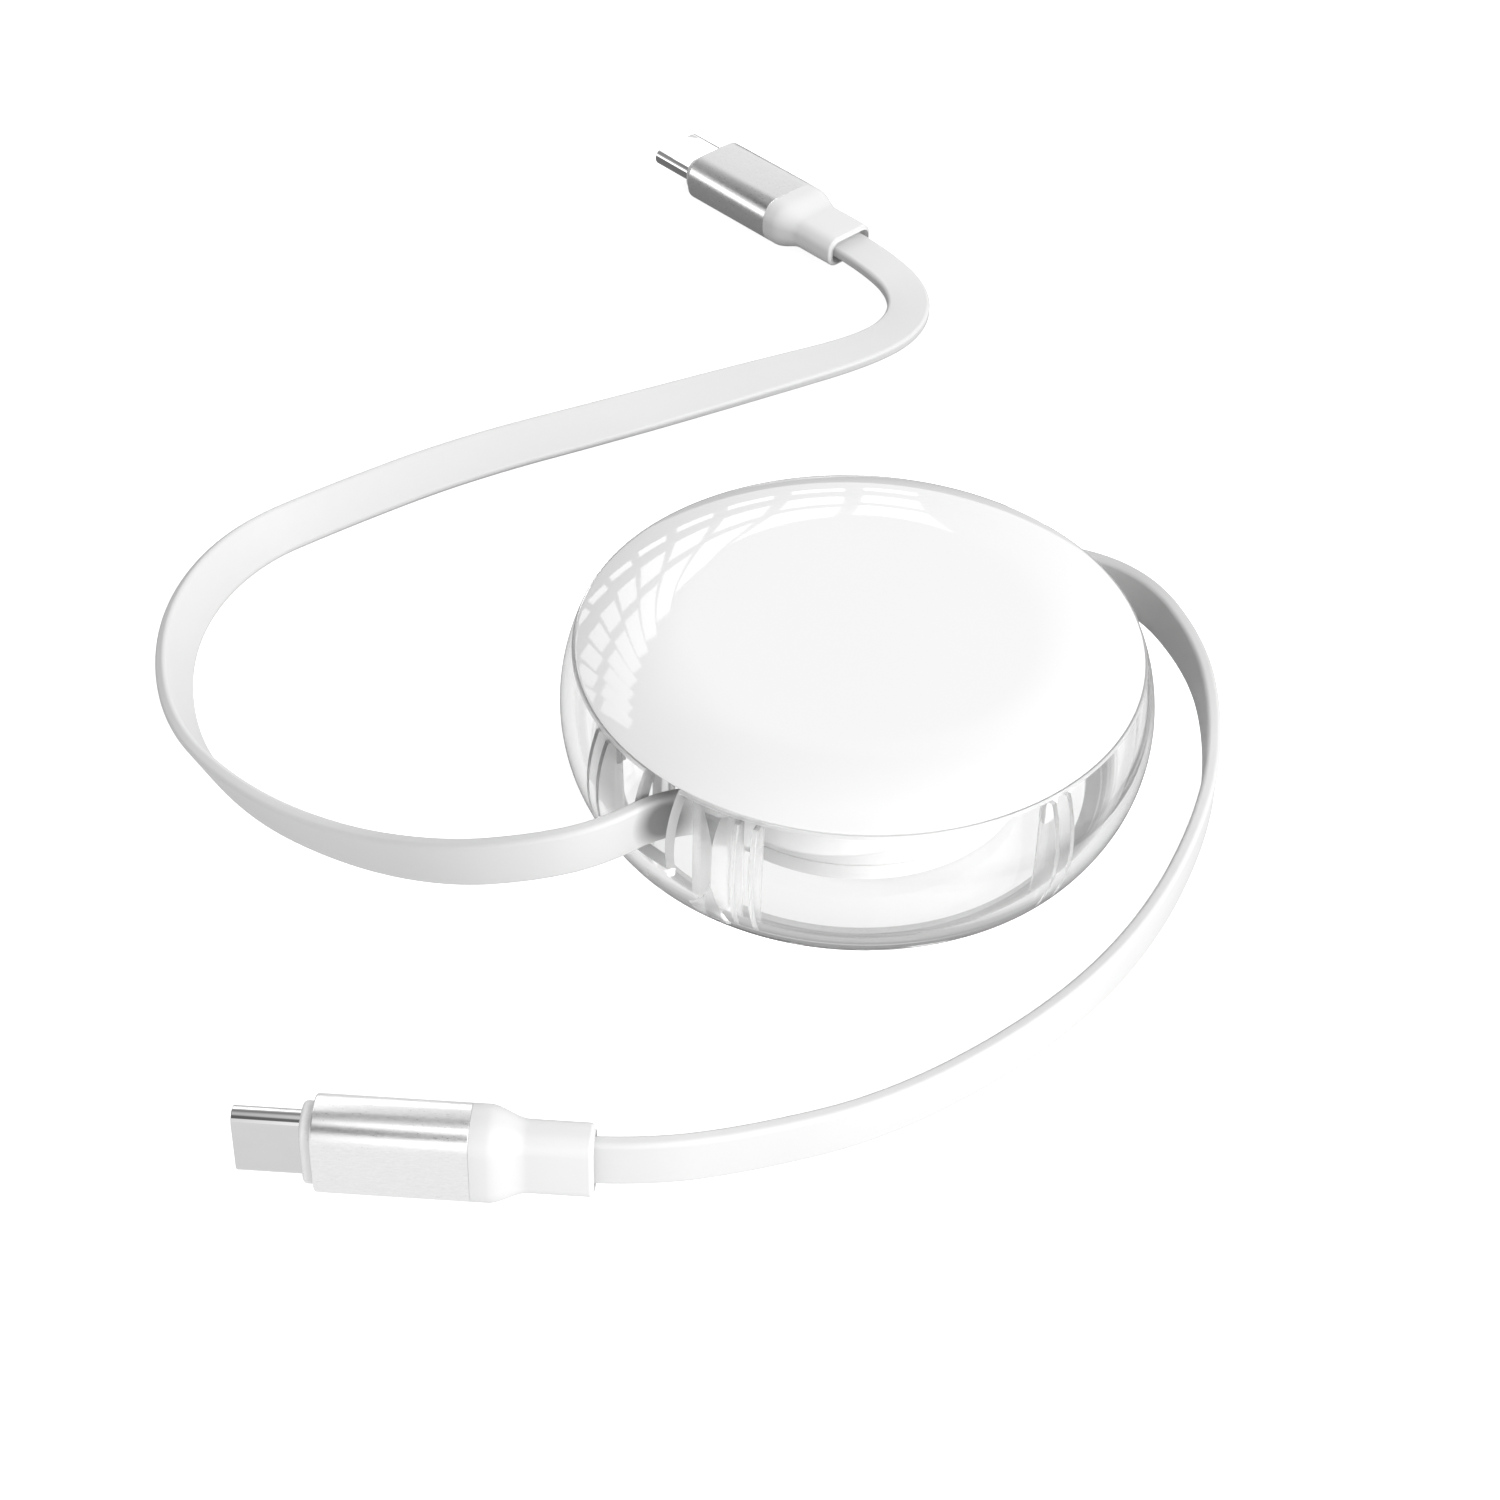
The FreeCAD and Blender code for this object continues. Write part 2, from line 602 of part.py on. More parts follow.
def buildPlug(end, place):
    def piece(name):
        body = addBody(end + "_" + name)
        body.Placement = place
        nodes.append(body)
        return body

    shell = piece("plug_shell")
    padAlong(shell, "tube", [ovalLoop("shell"), ovalLoop("mouth")], "shell_back", "shell_tip")
    housing = piece("contact_housing")
    padAlong(housing, "insert", [ovalLoop("housing"), roundedLoop("slot")], "shell_back", "housing_front")
    board = piece("paddle_board")
    padAlong(board, "laminate", [roundedLoop("board")], "board_start", "board_front")
    core = piece("plug_core")
    padAlong(core, "block", [roundedLoop("core")], "0", "sleeve_length")
    padAlong(core, "collar", [roundedLoop("collar")], "sleeve_length", "collar_front")
    pocketAlong(core, "shell_seat", [ovalLoop("seat")], "shell_back", "collar_front")
    pocketAlong(core, "board_bay", [roundedLoop("bay")], "board_start", "shell_back")
    pocketAlong(core, "wire_way", [roundedLoop("throat")], "0", "board_start")
    sleeve = piece("plug_sleeve")
    padAlong(sleeve, "tube", [roundedLoop("sleeve"), roundedLoop("hollow")], "0", "sleeve_length")
    lead = piece("cable_lead")
    padAlong(lead, "strip", [roundedLoop("lead")], "lead_back", "lead_front")

    boot = piece("cable_boot")
    outlines = [addSketch(boot, "outline_" + name, "YZ_Plane", [roundedLoop(name)], offset)
                for name, offset in bootSections]
    loft = boot.newObject("PartDesign::AdditiveLoft", "moulding")
    loft.Profile = outlines[0]
    loft.Sections = outlines[1:]
    loft.Ruled = True
    pocketAlong(boot, "throat", [roundedLoop("throat")], "boot_end", "0")

    # Two rows of contacts on the upper and lower walls of the housing's slot
    strips = []
    for row in ("slot_top - contact_thickness", "-slot_top"):
        for index in range(int(number("contact_count"))):
            strip = doc.addObject("Part::Box", end + "_contact")
            strip.setExpression("Length", link("housing_front - housing_recess - shell_back"))
            strip.setExpression("Width", link("contact_width"))
            strip.setExpression("Height", link("contact_thickness"))
            strip.setExpression("Placement.Base.x", link("shell_back"))
            across = "(%d - (contact_count - 1) / 2) * contact_pitch - contact_width / 2" % index
            strip.setExpression("Placement.Base.y", link(across))
            strip.setExpression("Placement.Base.z", link(row))
            strips.append(strip)
    contacts = doc.addObject("Part::Compound", end + "_contacts")
    contacts.Label = end + "_contacts"
    contacts.Links = strips
    contacts.Placement = place
    nodes.append(contacts)


def plugPlace(end, height, roll):
    turn = FreeCAD.Rotation(FreeCAD.Vector(0, 0, 1), number(end + "_yaw"))
    spot = FreeCAD.Vector(number(end + "_x"), number(end + "_y"), height)
    return FreeCAD.Placement(spot, turn * FreeCAD.Rotation(FreeCAD.Vector(1, 0, 0), roll))


# The near plug stands on its narrow side, and the far plug lies flat
nearPlace = plugPlace("near", number("sleeve_side"), 90)
farPlace = plugPlace("far", number("sleeve_top"), 0)
buildPlug("near", nearPlace)
buildPlug("far", farPlace)


# Free cables. Each arc takes this share of the shorter of its two runs.
arcShare = 0.45
stationStep = math.radians(6)


def cablePath(route):
    # Straight runs joined by tangent arcs. Gives stations of (point, direction, lean) and the arcs' radii;
    # the lean, in degrees, turns the cable's broad side from upright (0) to flat (90).
    spots = [FreeCAD.Vector(*corner[:3]) for corner in route]
    leans = [corner[3] for corner in route]
    stations = [(spots[0], (spots[1] - spots[0]).normalize(), leans[0])]
    radii = []
    for index in range(1, len(spots) - 1):
        before = spots[index] - spots[index - 1]
        after = spots[index + 1] - spots[index]
        turn = before.getAngle(after)
        trim = arcShare * min(before.Length, after.Length)
        radius = trim / math.tan(turn / 2)
        radii.append(radius)
        before.normalize()
        after.normalize()
        inward = (after - before).normalize()
        centre = spots[index] + inward * (radius / math.cos(turn / 2))
        start = spots[index] - before * trim
        outward = (start - centre).normalize()
        steps = max(3, math.ceil(turn / stationStep))
        for step in range(steps + 1):
            angle = turn * step / steps
            point = centre + (outward * math.cos(angle) + before * math.sin(angle)) * radius
            heading = before * math.cos(angle) - outward * math.sin(angle)
            share = (step / steps - 0.5) * 2 * arcShare
            neighbour = leans[index + 1] if share > 0 else leans[index - 1]
            stations.append((point, heading, leans[index] + abs(share) * (neighbour - leans[index])))
    stations.append((spots[-1], (spots[-1] - spots[-2]).normalize(), leans[-1]))
    return stations, radii


def addCable(name, route):
    stations, radii = cablePath(route)
    halfWidth = number("cable_width") / 2
    halfThick = number("cable_thickness") / 2
    up = FreeCAD.Vector(0, 0, 1)
    outlines = []
    for point, heading, lean in stations:
        leftward = up.cross(heading).normalize()
        upward = heading.cross(leftward)
        tilt = math.radians(lean)
        broad = upward * math.cos(tilt) + leftward * math.sin(tilt)
        face = heading.cross(broad)
        corners = [point + broad * halfWidth * across + face * halfThick * through
                   for across, through in ((1, 1), (-1, 1), (-1, -1), (1, -1), (1, 1))]
        outlines.append(Part.makePolygon(corners))
    cable = doc.addObject("Part::Feature", name)
    cable.Label = name
    cable.Shape = Part.makeLoft(outlines, True, True)
    cable.Placement = FreeCAD.Placement()
    nodes.append(cable)
    length = sum((after[0] - before[0]).Length for before, after in zip(stations, stations[1:]))
    volume = length * number("cable_width") * number("cable_thickness")
    print("%s: length %.1f, volume %.1f of %.1f, radii %s" % (
        name, length, cable.Shape.Volume, volume, " ".join("%.1f" % radius for radius in radii)))


bootRun = 4.0


def plugEnd(place, lean):
    # The last two points of a route: just outside the boot on the plug's axis, and inside the boot
    outside = place.multVec(FreeCAD.Vector(-number("boot_length") - bootRun, 0, 0))
    inside = place.multVec(FreeCAD.Vector(number("lead_back"), 0, 0))
    return [tuple(outside) + (lean,), tuple(inside) + (lean,)]


# Routes from the winding to the plugs: x, y, z and lean
leftRoute = [
    (10.6, -18.3, 13.0, 0),
    (4.4, -22.8, 13.0, 0),
    (-4.8, -24.4, 13.1, 0),
    (-12.4, -20.9, 13.3, 0),
    (-20.4, -21.6, 13.4, 0),
    (-27.0, -26.6, 13.1, 0),
    (-34.0, -27.9, 11.9, 0),
    (-43.5, -26.2, 9.0, 3),
    (-55.0, -19.9, 5.2, 12),
    (-67.0, -11.3, 3.4, 19),
    (-76.7, 0.8, 3.1, 31),
    (-80.0, 19.0, 3.0, 33),
    (-75.0, 35.1, 2.9, 40),
    (-63.0, 45.4, 2.7, 48),
    (-48.7, 56.1, 2.5, 53),
    (-29.4, 66.5, 2.2, 60),
    (-11.8, 76.8, 1.7, 74),
    (2.6, 85.4, 1.1, 88),
    (8.0, 92.0, 1.0, 90),
    (8.3, 99.0, 1.7, 90),
] + plugEnd(farPlace, 90)
rightRoute = [
    (-7.8, 20.1, 13.0, 0),
    (6.0, 23.0, 13.0, 0),
    (20.0, 24.6, 13.0, 0),
    (33.0, 23.5, 10.5, 0),
    (40.0, 16.0, 5.8, 0),
    (41.3, 5.5, 3.3, 0),
    (39.0, -9.0, 3.0, 0),
    (31.5, -27.0, 3.0, 0),
    (20.5, -41.5, 3.0, 0),
    (4.0, -54.5, 3.0, 0),
    (-11.5, -60.6, 3.6, 0),
] + plugEnd(nearPlace, 0)
addCable("left_cable", leftRoute)
addCable("right_cable", rightRoute)

# Check every object, then write one file for each sub-part
doc.recompute()
for item in doc.Objects:
    if "Invalid" in item.State or "Error" in item.State:
        raise RuntimeError("%s did not build: %s" % (item.Label, item.State))
for node in nodes:
    if node.Shape.isNull() or not node.Shape.isValid():
        raise RuntimeError(node.Label + " has no valid shape")
os.makedirs("parts", exist_ok=True)
for node in nodes:
    node.Shape.exportStep("parts/%s.step" % node.Label)
    print("%s: %d solids, %.1f cubic mm" % (node.Label, len(node.Shape.Solids), node.Shape.Volume))
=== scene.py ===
import math

import bmesh
import bpy
import numpy as np
from mathutils import Matrix, Vector


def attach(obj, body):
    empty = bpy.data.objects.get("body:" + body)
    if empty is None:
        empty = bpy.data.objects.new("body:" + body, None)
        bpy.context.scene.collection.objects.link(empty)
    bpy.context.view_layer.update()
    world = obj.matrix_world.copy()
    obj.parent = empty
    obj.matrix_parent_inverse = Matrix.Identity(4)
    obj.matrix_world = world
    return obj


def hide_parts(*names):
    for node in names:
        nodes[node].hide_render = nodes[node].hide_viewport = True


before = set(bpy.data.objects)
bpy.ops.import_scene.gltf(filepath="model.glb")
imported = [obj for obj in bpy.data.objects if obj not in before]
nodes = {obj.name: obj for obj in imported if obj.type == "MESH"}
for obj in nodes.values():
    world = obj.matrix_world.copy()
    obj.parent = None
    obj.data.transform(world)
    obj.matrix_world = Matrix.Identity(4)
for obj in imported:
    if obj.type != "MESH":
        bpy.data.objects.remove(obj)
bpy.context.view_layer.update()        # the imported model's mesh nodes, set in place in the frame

mm = 0.001
scene = bpy.context.scene
print("frame loaded:", len(nodes), "nodes")


# shader sockets as values: arithmetic on them adds Math nodes, make() adds any other node
class Signal:
    def __init__(self, tree, socket=None):
        self.tree = tree
        self.socket = socket

    def make(self, kind, settings, inputs, output=0):
        node = self.tree.nodes.new(kind)
        stops = settings.pop("stops", None)
        for key, value in settings.items():
            setattr(node, key, value)
        if stops:
            ramp = node.color_ramp.elements
            while len(ramp) < len(stops):
                ramp.new(0.5)
            for element, (place, level) in zip(ramp, stops):
                element.position = place
                element.color = grey(level)
        for key, value in inputs.items():
            if isinstance(value, Signal):
                self.tree.links.new(value.socket, node.inputs[key])
            else:
                node.inputs[key].default_value = value
        return Signal(self.tree, node.outputs[output])

    def calc(self, operation, left, right):
        return self.make("ShaderNodeMath", {"operation": operation}, {0: left, 1: right})

    def __add__(self, other):
        return self.calc("ADD", self, other)

    def __radd__(self, other):
        return self.calc("ADD", other, self)

    def __sub__(self, other):
        return self.calc("SUBTRACT", self, other)

    def __rsub__(self, other):
        return self.calc("SUBTRACT", other, self)

    def __mul__(self, other):
        return self.calc("MULTIPLY", self, other)

    def __rmul__(self, other):
        return self.calc("MULTIPLY", other, self)

    def into(self, socket):
        self.tree.links.new(self.socket, socket)


def grey(level):
    return (level, level, level, 1)


def newFinish(name, constants):
    # a material with a Principled shader whose even values are set on its own sockets
    finish = bpy.data.materials.new(name)
    finish.use_nodes = True
    shader = finish.node_tree.nodes["Principled BSDF"]
    for key, value in constants.items():
        shader.inputs[key].default_value = value
    return finish, shader, Signal(finish.node_tree)


def colourMix(signal, mask, low, high):
    # colour between two others by a mask
    return signal.make("ShaderNodeMix", {"data_type": "RGBA"}, {"Factor": mask, "A": low, "B": high}, 2)


def objectSpot(signal):
    # the piece's own coordinates, in metres
    return signal.make("ShaderNodeTexCoord", {}, {}, "Object")


def objectNoise(signal, scale, detail=3.0, stretch=(1, 1, 1), turn=(0, 0, 0), rough=0.5):
    # noise on the piece's own coordinates, stretched along chosen axes
    spot = signal.make("ShaderNodeMapping", {"vector_type": "TEXTURE"},
                       {"Vector": objectSpot(signal), "Rotation": turn, "Scale": stretch})
    return signal.make("ShaderNodeTexNoise", {},
                       {"Vector": spot, "Scale": scale, "Detail": detail, "Roughness": rough})


def smoothRange(signal, value, edges, levels=(0.0, 1.0)):
    # smooth step from one level to the other between two edges
    return signal.make("ShaderNodeMapRange", {"interpolation_type": "SMOOTHSTEP"}, {
        "Value": value, "From Min": edges[0], "From Max": edges[1],
        "To Min": levels[0], "To Max": levels[1]})


def fromAxis(signal, spot):
    # distance from the reel's axis
    flat = signal.make("ShaderNodeVectorMath", {"operation": "MULTIPLY"}, {0: spot, 1: (1, 1, 0)})
    return signal.make("ShaderNodeVectorMath", {"operation": "LENGTH"}, {0: flat}, "Value")


def bumpInto(signal, shader, height, strength, distance):
    normal = signal.make("ShaderNodeBump", {},
                         {"Height": height, "Strength": strength, "Distance": distance})
    normal.into(shader.inputs["Normal"])


# clear moulded plastic of the reel, with painted shade and reflection in bands on its heel; each stop of
# the heel's bands is a share of its height and a grey
clearLook = dict(tint=0.985, rough=0.015, ior=1.49, rippleScale=90.0, rippleBump=0.25, rippleDepth=0.00004,
                 heelReach=0.0267, heelTop=0.0044,
                 heel=((0, 0.40), (0.22, 0.40), (0.26, 0.80), (0.30, 0.34), (0.76, 0.38), (0.82, 0.80),
                       (0.90, 0.60), (1.0, 0.985)))


def clearFinish():
    # the round heel is thick; its colour has painted shade and reflection, in dark and bright bands up its
    # height
    look = clearLook
    finish, shader, signal = newFinish("clearCase", {
        "Roughness": look["rough"], "IOR": look["ior"], "Transmission Weight": 1.0})
    spot = objectSpot(signal)
    rise = signal.make("ShaderNodeSeparateXYZ", {}, {"Vector": spot}, "Z") * (1 / look["heelTop"])
    bands = signal.make("ShaderNodeValToRGB", {"stops": look["heel"]}, {"Fac": rise}, "Color")
    atPaintedHeel = signal.calc("GREATER_THAN", fromAxis(signal, spot), look["heelReach"])
    tone = look["tint"] * (1 - atPaintedHeel) + bands * atPaintedHeel
    tone.into(shader.inputs["Base Color"])
    ripple = objectNoise(signal, look["rippleScale"], detail=1.0)  # faint flow waves of the moulding
    bumpInto(signal, shader, ripple, look["rippleBump"], look["rippleDepth"])
    return finish


# ribs and guides of the same moulding, left with a fine grain by the tool
# the slots are whiter, and the rim's darker tone is painted shade of the cap
grainLook = dict(scale=1800.0, bump=0.15, depth=0.00003)
ribLook = dict(tone=1.0, rough=0.22, clear=0.84)
slotLook = dict(tone=0.98, rough=0.32, clear=0.55)
rimShadeLook = dict(tone=0.80, rough=0.32, clear=0.55)


def grainFinish(name, look):
    finish, shader, signal = newFinish(name, {
        "Base Color": grey(look["tone"]), "Roughness": look["rough"], "IOR": clearLook["ior"],
        "Transmission Weight": look["clear"]})
    grain = objectNoise(signal, grainLook["scale"], detail=2.0)
    bumpInto(signal, shader, grain, grainLook["bump"], grainLook["depth"])
    return finish


# glossy white cap
capLook = dict(dark=0.85, light=0.87, rough=0.03, ior=1.5, coat=0.4, coatRough=0.01, cloudScale=30.0,
               hazeScale=350.0, hazeRough=0.03, waveScale=60.0, waveBump=0.06, waveDepth=0.00005)


def capFinish():
    look = capLook
    finish, shader, signal = newFinish("whiteCap", {
        "IOR": look["ior"], "Coat Weight": look["coat"], "Coat Roughness": look["coatRough"]})
    cloud = objectNoise(signal, look["cloudScale"], detail=2.0)
    colourMix(signal, cloud, grey(look["dark"]), grey(look["light"])).into(shader.inputs["Base Color"])
    haze = objectNoise(signal, look["hazeScale"])
    (look["rough"] + look["hazeRough"] * haze).into(shader.inputs["Roughness"])
    wave = objectNoise(signal, look["waveScale"], detail=1.0)
    bumpInto(signal, shader, wave, look["waveBump"], look["waveDepth"])
    return finish


# satin white mouldings inside the reel and at the plugs
mouldLook = dict(dark=0.80, light=0.86, rough=0.42, ior=1.5, cloudScale=120.0, fineScale=2600.0,
                 fineRough=0.12, fineBump=0.12, fineDepth=0.00003)


def mouldFinish(name, look):
    finish, shader, signal = newFinish(name, {"IOR": look["ior"]})
    cloud = objectNoise(signal, look["cloudScale"])
    colourMix(signal, cloud, grey(look["dark"]), grey(look["light"])).into(shader.inputs["Base Color"])
    fine = objectNoise(signal, look["fineScale"], detail=2.0)
    (look["rough"] + look["fineRough"] * fine).into(shader.inputs["Roughness"])
    bumpInto(signal, shader, fine, look["fineBump"], look["fineDepth"])
    return finish


# soft white jacket of the flat cable and the boots: even, with a very fine tooth; a cable's jacket may
# also take painted shade and painted light near given spots
jacketLook = dict(dark=0.69, light=0.73, rough=0.40)
bootLook = dict(dark=0.73, light=0.77, rough=0.38)
toothLook = dict(ior=1.46, sheen=0.05, sheenRough=0.4, cloudScale=60.0, scale=3800.0, rough=0.10,
                 bump=0.10, depth=0.00003)


def jacketFinish(name, look, paintedShading=()):
    # painted shade and painted light: each entry is a spot, the distances from it between which the tone
    # turns, and the tone at the spot; below 1 it darkens, above 1 it lightens
    finish, shader, signal = newFinish(name, {
        "IOR": toothLook["ior"], "Sheen Weight": toothLook["sheen"],
        "Sheen Roughness": toothLook["sheenRough"]})
    cloud = objectNoise(signal, toothLook["cloudScale"])
    tone = look["dark"] + (look["light"] - look["dark"]) * cloud
    for centre, inner, outer, level in paintedShading:
        away = signal.make("ShaderNodeVectorMath", {"operation": "DISTANCE"},
                           {0: objectSpot(signal), 1: centre}, "Value")
        tone = tone * signal.make("ShaderNodeMapRange", {}, {
            "Value": away, "From Min": inner, "From Max": outer, "To Min": level})
    tone.into(shader.inputs["Base Color"])
    tooth = objectNoise(signal, toothLook["scale"], detail=2.0)
    (look["rough"] + toothLook["rough"] * tooth).into(shader.inputs["Roughness"])
    bumpInto(signal, shader, tooth, toothLook["bump"], toothLook["depth"])
    return finish


# aluminium sleeve, brushed along the plug
brushLook = dict(dark=0.82, light=0.92, rough=0.26, roughSpread=0.10, bump=0.14, depth=0.00003,
                 fineScale=6400.0, fineStretch=(3, 1, 1), fineRough=0.6, fineShare=0.65,
                 longScale=4200.0, longStretch=(5, 1, 1), longShare=0.35, sharpFrom=0.32, sharpTo=0.68)


def brushedFinish(name, yaw):
    look = brushLook
    finish, shader, signal = newFinish(name, {"Metallic": 1.0})
    turn = (0, 0, yaw)
    fine = objectNoise(signal, look["fineScale"], 3.0, look["fineStretch"], turn, look["fineRough"])
    longer = objectNoise(signal, look["longScale"], 2.0, look["longStretch"], turn)
    grain = look["fineShare"] * fine + look["longShare"] * longer
    sharp = signal.make("ShaderNodeMapRange", {}, {
        "Value": grain, "From Min": look["sharpFrom"], "From Max": look["sharpTo"]})
    colourMix(signal, sharp, grey(look["dark"]), grey(look["light"])).into(shader.inputs["Base Color"])
    (look["rough"] + look["roughSpread"] * sharp).into(shader.inputs["Roughness"])
    bumpInto(signal, shader, grain, look["bump"], look["depth"])
    return finish


# bright metal: plug shells, screw, washer, ball and spring
shellLook = dict(tone=0.70, rough=0.03)
springLook = dict(tone=0.62, rough=0.22)
brightCloud = dict(scale=400.0, darkShare=0.95, rough=0.03)


def brightFinish(name, look):
    finish, shader, signal = newFinish(name, {"Metallic": 1.0})
    cloud = objectNoise(signal, brightCloud["scale"])
    dark, light = grey(look["tone"] * brightCloud["darkShare"]), grey(look["tone"])
    colourMix(signal, cloud, dark, light).into(shader.inputs["Base Color"])
    (look["rough"] + brightCloud["rough"] * cloud).into(shader.inputs["Roughness"])
    return finish


# coloured pieces inside the plugs
insertLook = dict(low=grey(0.012), high=grey(0.03), metallic=0.0, rough=0.45, scale=900.0)
goldLook = dict(low=(0.72, 0.52, 0.20, 1), high=(0.90, 0.70, 0.34, 1), metallic=1.0, rough=0.22,
                scale=700.0)
boardLook = dict(low=(0.01, 0.10, 0.04, 1), high=(0.02, 0.17, 0.08, 1), metallic=0.0, rough=0.4,
                 scale=500.0)


def colourFinish(name, look, roughSpread=0.1):
    finish, shader, signal = newFinish(name, {"Metallic": look["metallic"]})
    cloud = objectNoise(signal, look["scale"])
    colourMix(signal, cloud, look["low"], look["high"]).into(shader.inputs["Base Color"])
    (look["rough"] + roughSpread * cloud).into(shader.inputs["Roughness"])
    return finish


# rear end of each sleeve in mm, and the plug's turn in degrees
plugPlaces = {
    "near": dict(spot=(-37.66, -63.29, 5.3), yaw=177.3, roll=90.0),
    "far": dict(spot=(-8.27, 116.1, 3.3), yaw=134.9, roll=0.0),
}
clearCase = clearFinish()
ribGrain = grainFinish("ribGrain", ribLook)
slotGrain = grainFinish("slotGrain", slotLook)
rimGrainAndShade = grainFinish("rimGrainAndShade", rimShadeLook)
whiteCap = capFinish()
whiteMoulding = mouldFinish("whiteMoulding", mouldLook)
cableJacket = jacketFinish("cableJacket", jacketLook)
bootRubber = jacketFinish("bootRubber", bootLook)
brushedSleeves = {end: brushedFinish(end + "Brushed", math.radians(place["yaw"]))
                  for end, place in plugPlaces.items()}
platedShell = brightFinish("platedShell", shellLook)
springSteel = brightFinish("springSteel", springLook)
blackInsert = colourFinish("blackInsert", insertLook)
goldContact = colourFinish("goldContact", goldLook)
greenBoard = colourFinish("greenBoard", boardLook)
print("finishes made")

# distances in metres at which points are merged and slivers removed
closing = dict(mergeGap=1e-7, sliver=1e-8)


def gridMesh(name, points, wrapRows=False, keenAngle=40.0):
    # points[row, column] joined by quads: columns close round, and rows too if asked
    # poles and seams are merged
    rows, columns = points.shape[:2]
    bands = rows if wrapRows else rows - 1
    row, column = np.meshgrid(np.arange(bands), np.arange(columns), indexing="ij")
    nextRow, nextColumn = (row + 1) % rows, (column + 1) % columns
    quads = np.stack([row * columns + column, row * columns + nextColumn,
                      nextRow * columns + nextColumn, nextRow * columns + column], -1).reshape(-1, 4)
    mesh = bpy.data.meshes.new(name)
    mesh.from_pydata(points.reshape(-1, 3).tolist(), [], quads.tolist())
    closeMesh(mesh, keenAngle)
    return mesh


def closeMesh(mesh, keenAngle):
    shape = bmesh.new()
    shape.from_mesh(mesh)
    bmesh.ops.remove_doubles(shape, verts=shape.verts, dist=closing["mergeGap"])
    bmesh.ops.dissolve_degenerate(shape, edges=shape.edges, dist=closing["sliver"])
    bmesh.ops.recalc_face_normals(shape, faces=shape.faces)
    shape.to_mesh(mesh)
    shape.free()
    mesh.shade_smooth()
    mesh.set_sharp_from_angle(angle=math.radians(keenAngle))


def addObject(name, data):
    thing = bpy.data.objects.new(name, data)
    scene.collection.objects.link(thing)
    return thing


def dressPiece(name, mesh, finish, body, replaced):
    piece = addObject(name, mesh)
    if not mesh.materials:
        mesh.materials.append(finish)
    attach(piece, body)
    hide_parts(*replaced)
    return piece


def gridPiece(name, points, finish, body, replaced, wrapRows=False, keenAngle=40.0):
    return dressPiece(name, gridMesh(name, points, wrapRows, keenAngle), finish, body, replaced)


def arcBetween(centre, first, last, radius, steps):
    # arc round a centre from spoke first to spoke last: (sin((1 - t) a) first + sin(t a) last) / sin a
    sweep = math.acos(np.clip(first @ last / radius ** 2, -1, 1))
    share = np.linspace(0, 1, steps + 1)[:, None]
    return centre + (np.sin((1 - share) * sweep) * first + np.sin(share * sweep) * last) / math.sin(sweep)


def roundCorners(corners, steps=6, mostOfRun=0.48):
    # outline of straight runs; a corner (x, y, r) is rounded by an arc of radius r that touches both runs
    spots = np.array([corner[:2] for corner in corners], float)
    out = []
    for index, corner in enumerate(corners):
        radius = corner[2] if len(corner) > 2 else 0
        if radius == 0 or index in (0, len(corners) - 1):
            out.append(spots[index])
            continue
        back = spots[index - 1] - spots[index]
        ahead = spots[index + 1] - spots[index]
        reach = min(np.linalg.norm(back), np.linalg.norm(ahead)) * mostOfRun
        back /= np.linalg.norm(back)
        ahead /= np.linalg.norm(ahead)
        half = math.acos(np.clip(back @ ahead, -1, 1)) / 2
        trim = min(radius / math.tan(half), reach)
        radius = trim * math.tan(half)
        middle = (back + ahead) / np.linalg.norm(back + ahead)
        centre = spots[index] + middle * (radius / math.sin(half))
        first = spots[index] + back * trim - centre
        last = spots[index] + ahead * trim - centre
        out.extend(arcBetween(centre, first, last, radius, steps))
    return np.array(out)


def arcPoints(start, finish, radius, side, steps):
    # arc from start to finish with its centre on the left (side 1) or right (side -1) of the way
    start, finish = np.array(start, float), np.array(finish, float)
    chord = finish - start
    length = np.linalg.norm(chord)
    aside = np.array([-chord[1], chord[0]]) / length
    centre = (start + finish) / 2 + side * aside * math.sqrt(radius ** 2 - length ** 2 / 4)
    return arcBetween(centre, start - centre, finish - centre, radius, steps)


def turnedPoints(profile, segments=192):
    # profile (r, z) in mm turned about Z: x = r cos a, y = r sin a
    angle = np.linspace(0, 2 * np.pi, segments, endpoint=False)
    r, z = profile[:, 0, None], profile[:, 1, None]
    return np.stack([r * np.cos(angle), r * np.sin(angle), z + 0 * angle], -1) * mm


# reel case, in mm as the CAD has it, with the scene's own small rounds and steps
case = dict(reelRadius=33.0, bellyHeight=11.6, lowBulge=17.6, highBulge=20.5, baseRound=4.5,
            seamHeight=19.4, wall=1.6, floor=2.0, floorRound=0.8, rimRound=0.12,
            heelSteps=10, wallSteps=22, segments=256, keenAngle=30.0,
            postRadius=3.6, postTop=17.4, postFoot=0.4, postEdge=0.2, pilotRadius=1.02,
            pilotBottom=10.8)
cap = dict(height=22.2, crownRadius=19.0, crownRing=12.0, wall=1.6, lipDepth=1.6, lipWall=1.2, fitGap=0.2,
           archRound=0.4, lipRound=0.3, seatRound=0.15, innerSteps=12, outerSteps=24,
           tabWidth=1.3, tabLength=3.9, tabInset=0.05, tabSink=0.6)
ballSlot = dict(angle=90.0, radial=(9.2, 15.6), across=(-1.3, 1.3), upright=(0.8, 2.8))
ribs = dict(depth=2.4, thickness=0.6, spacing=2.1, top=17.5,
            angles=(208.5, 247.5, 312.5, 28.5, 67.5, 132.5))
exits = dict(angles=((227.6, 212.0), (49.3, 6.5)), halfWidth=2.35, bottom=9.0, guideRadius=1.2,
             guideSetback=4.0, blockSetback=4.5, blockLength=3.0, blockWidth=4.0, embed=0.5,
             rodSegments=48)


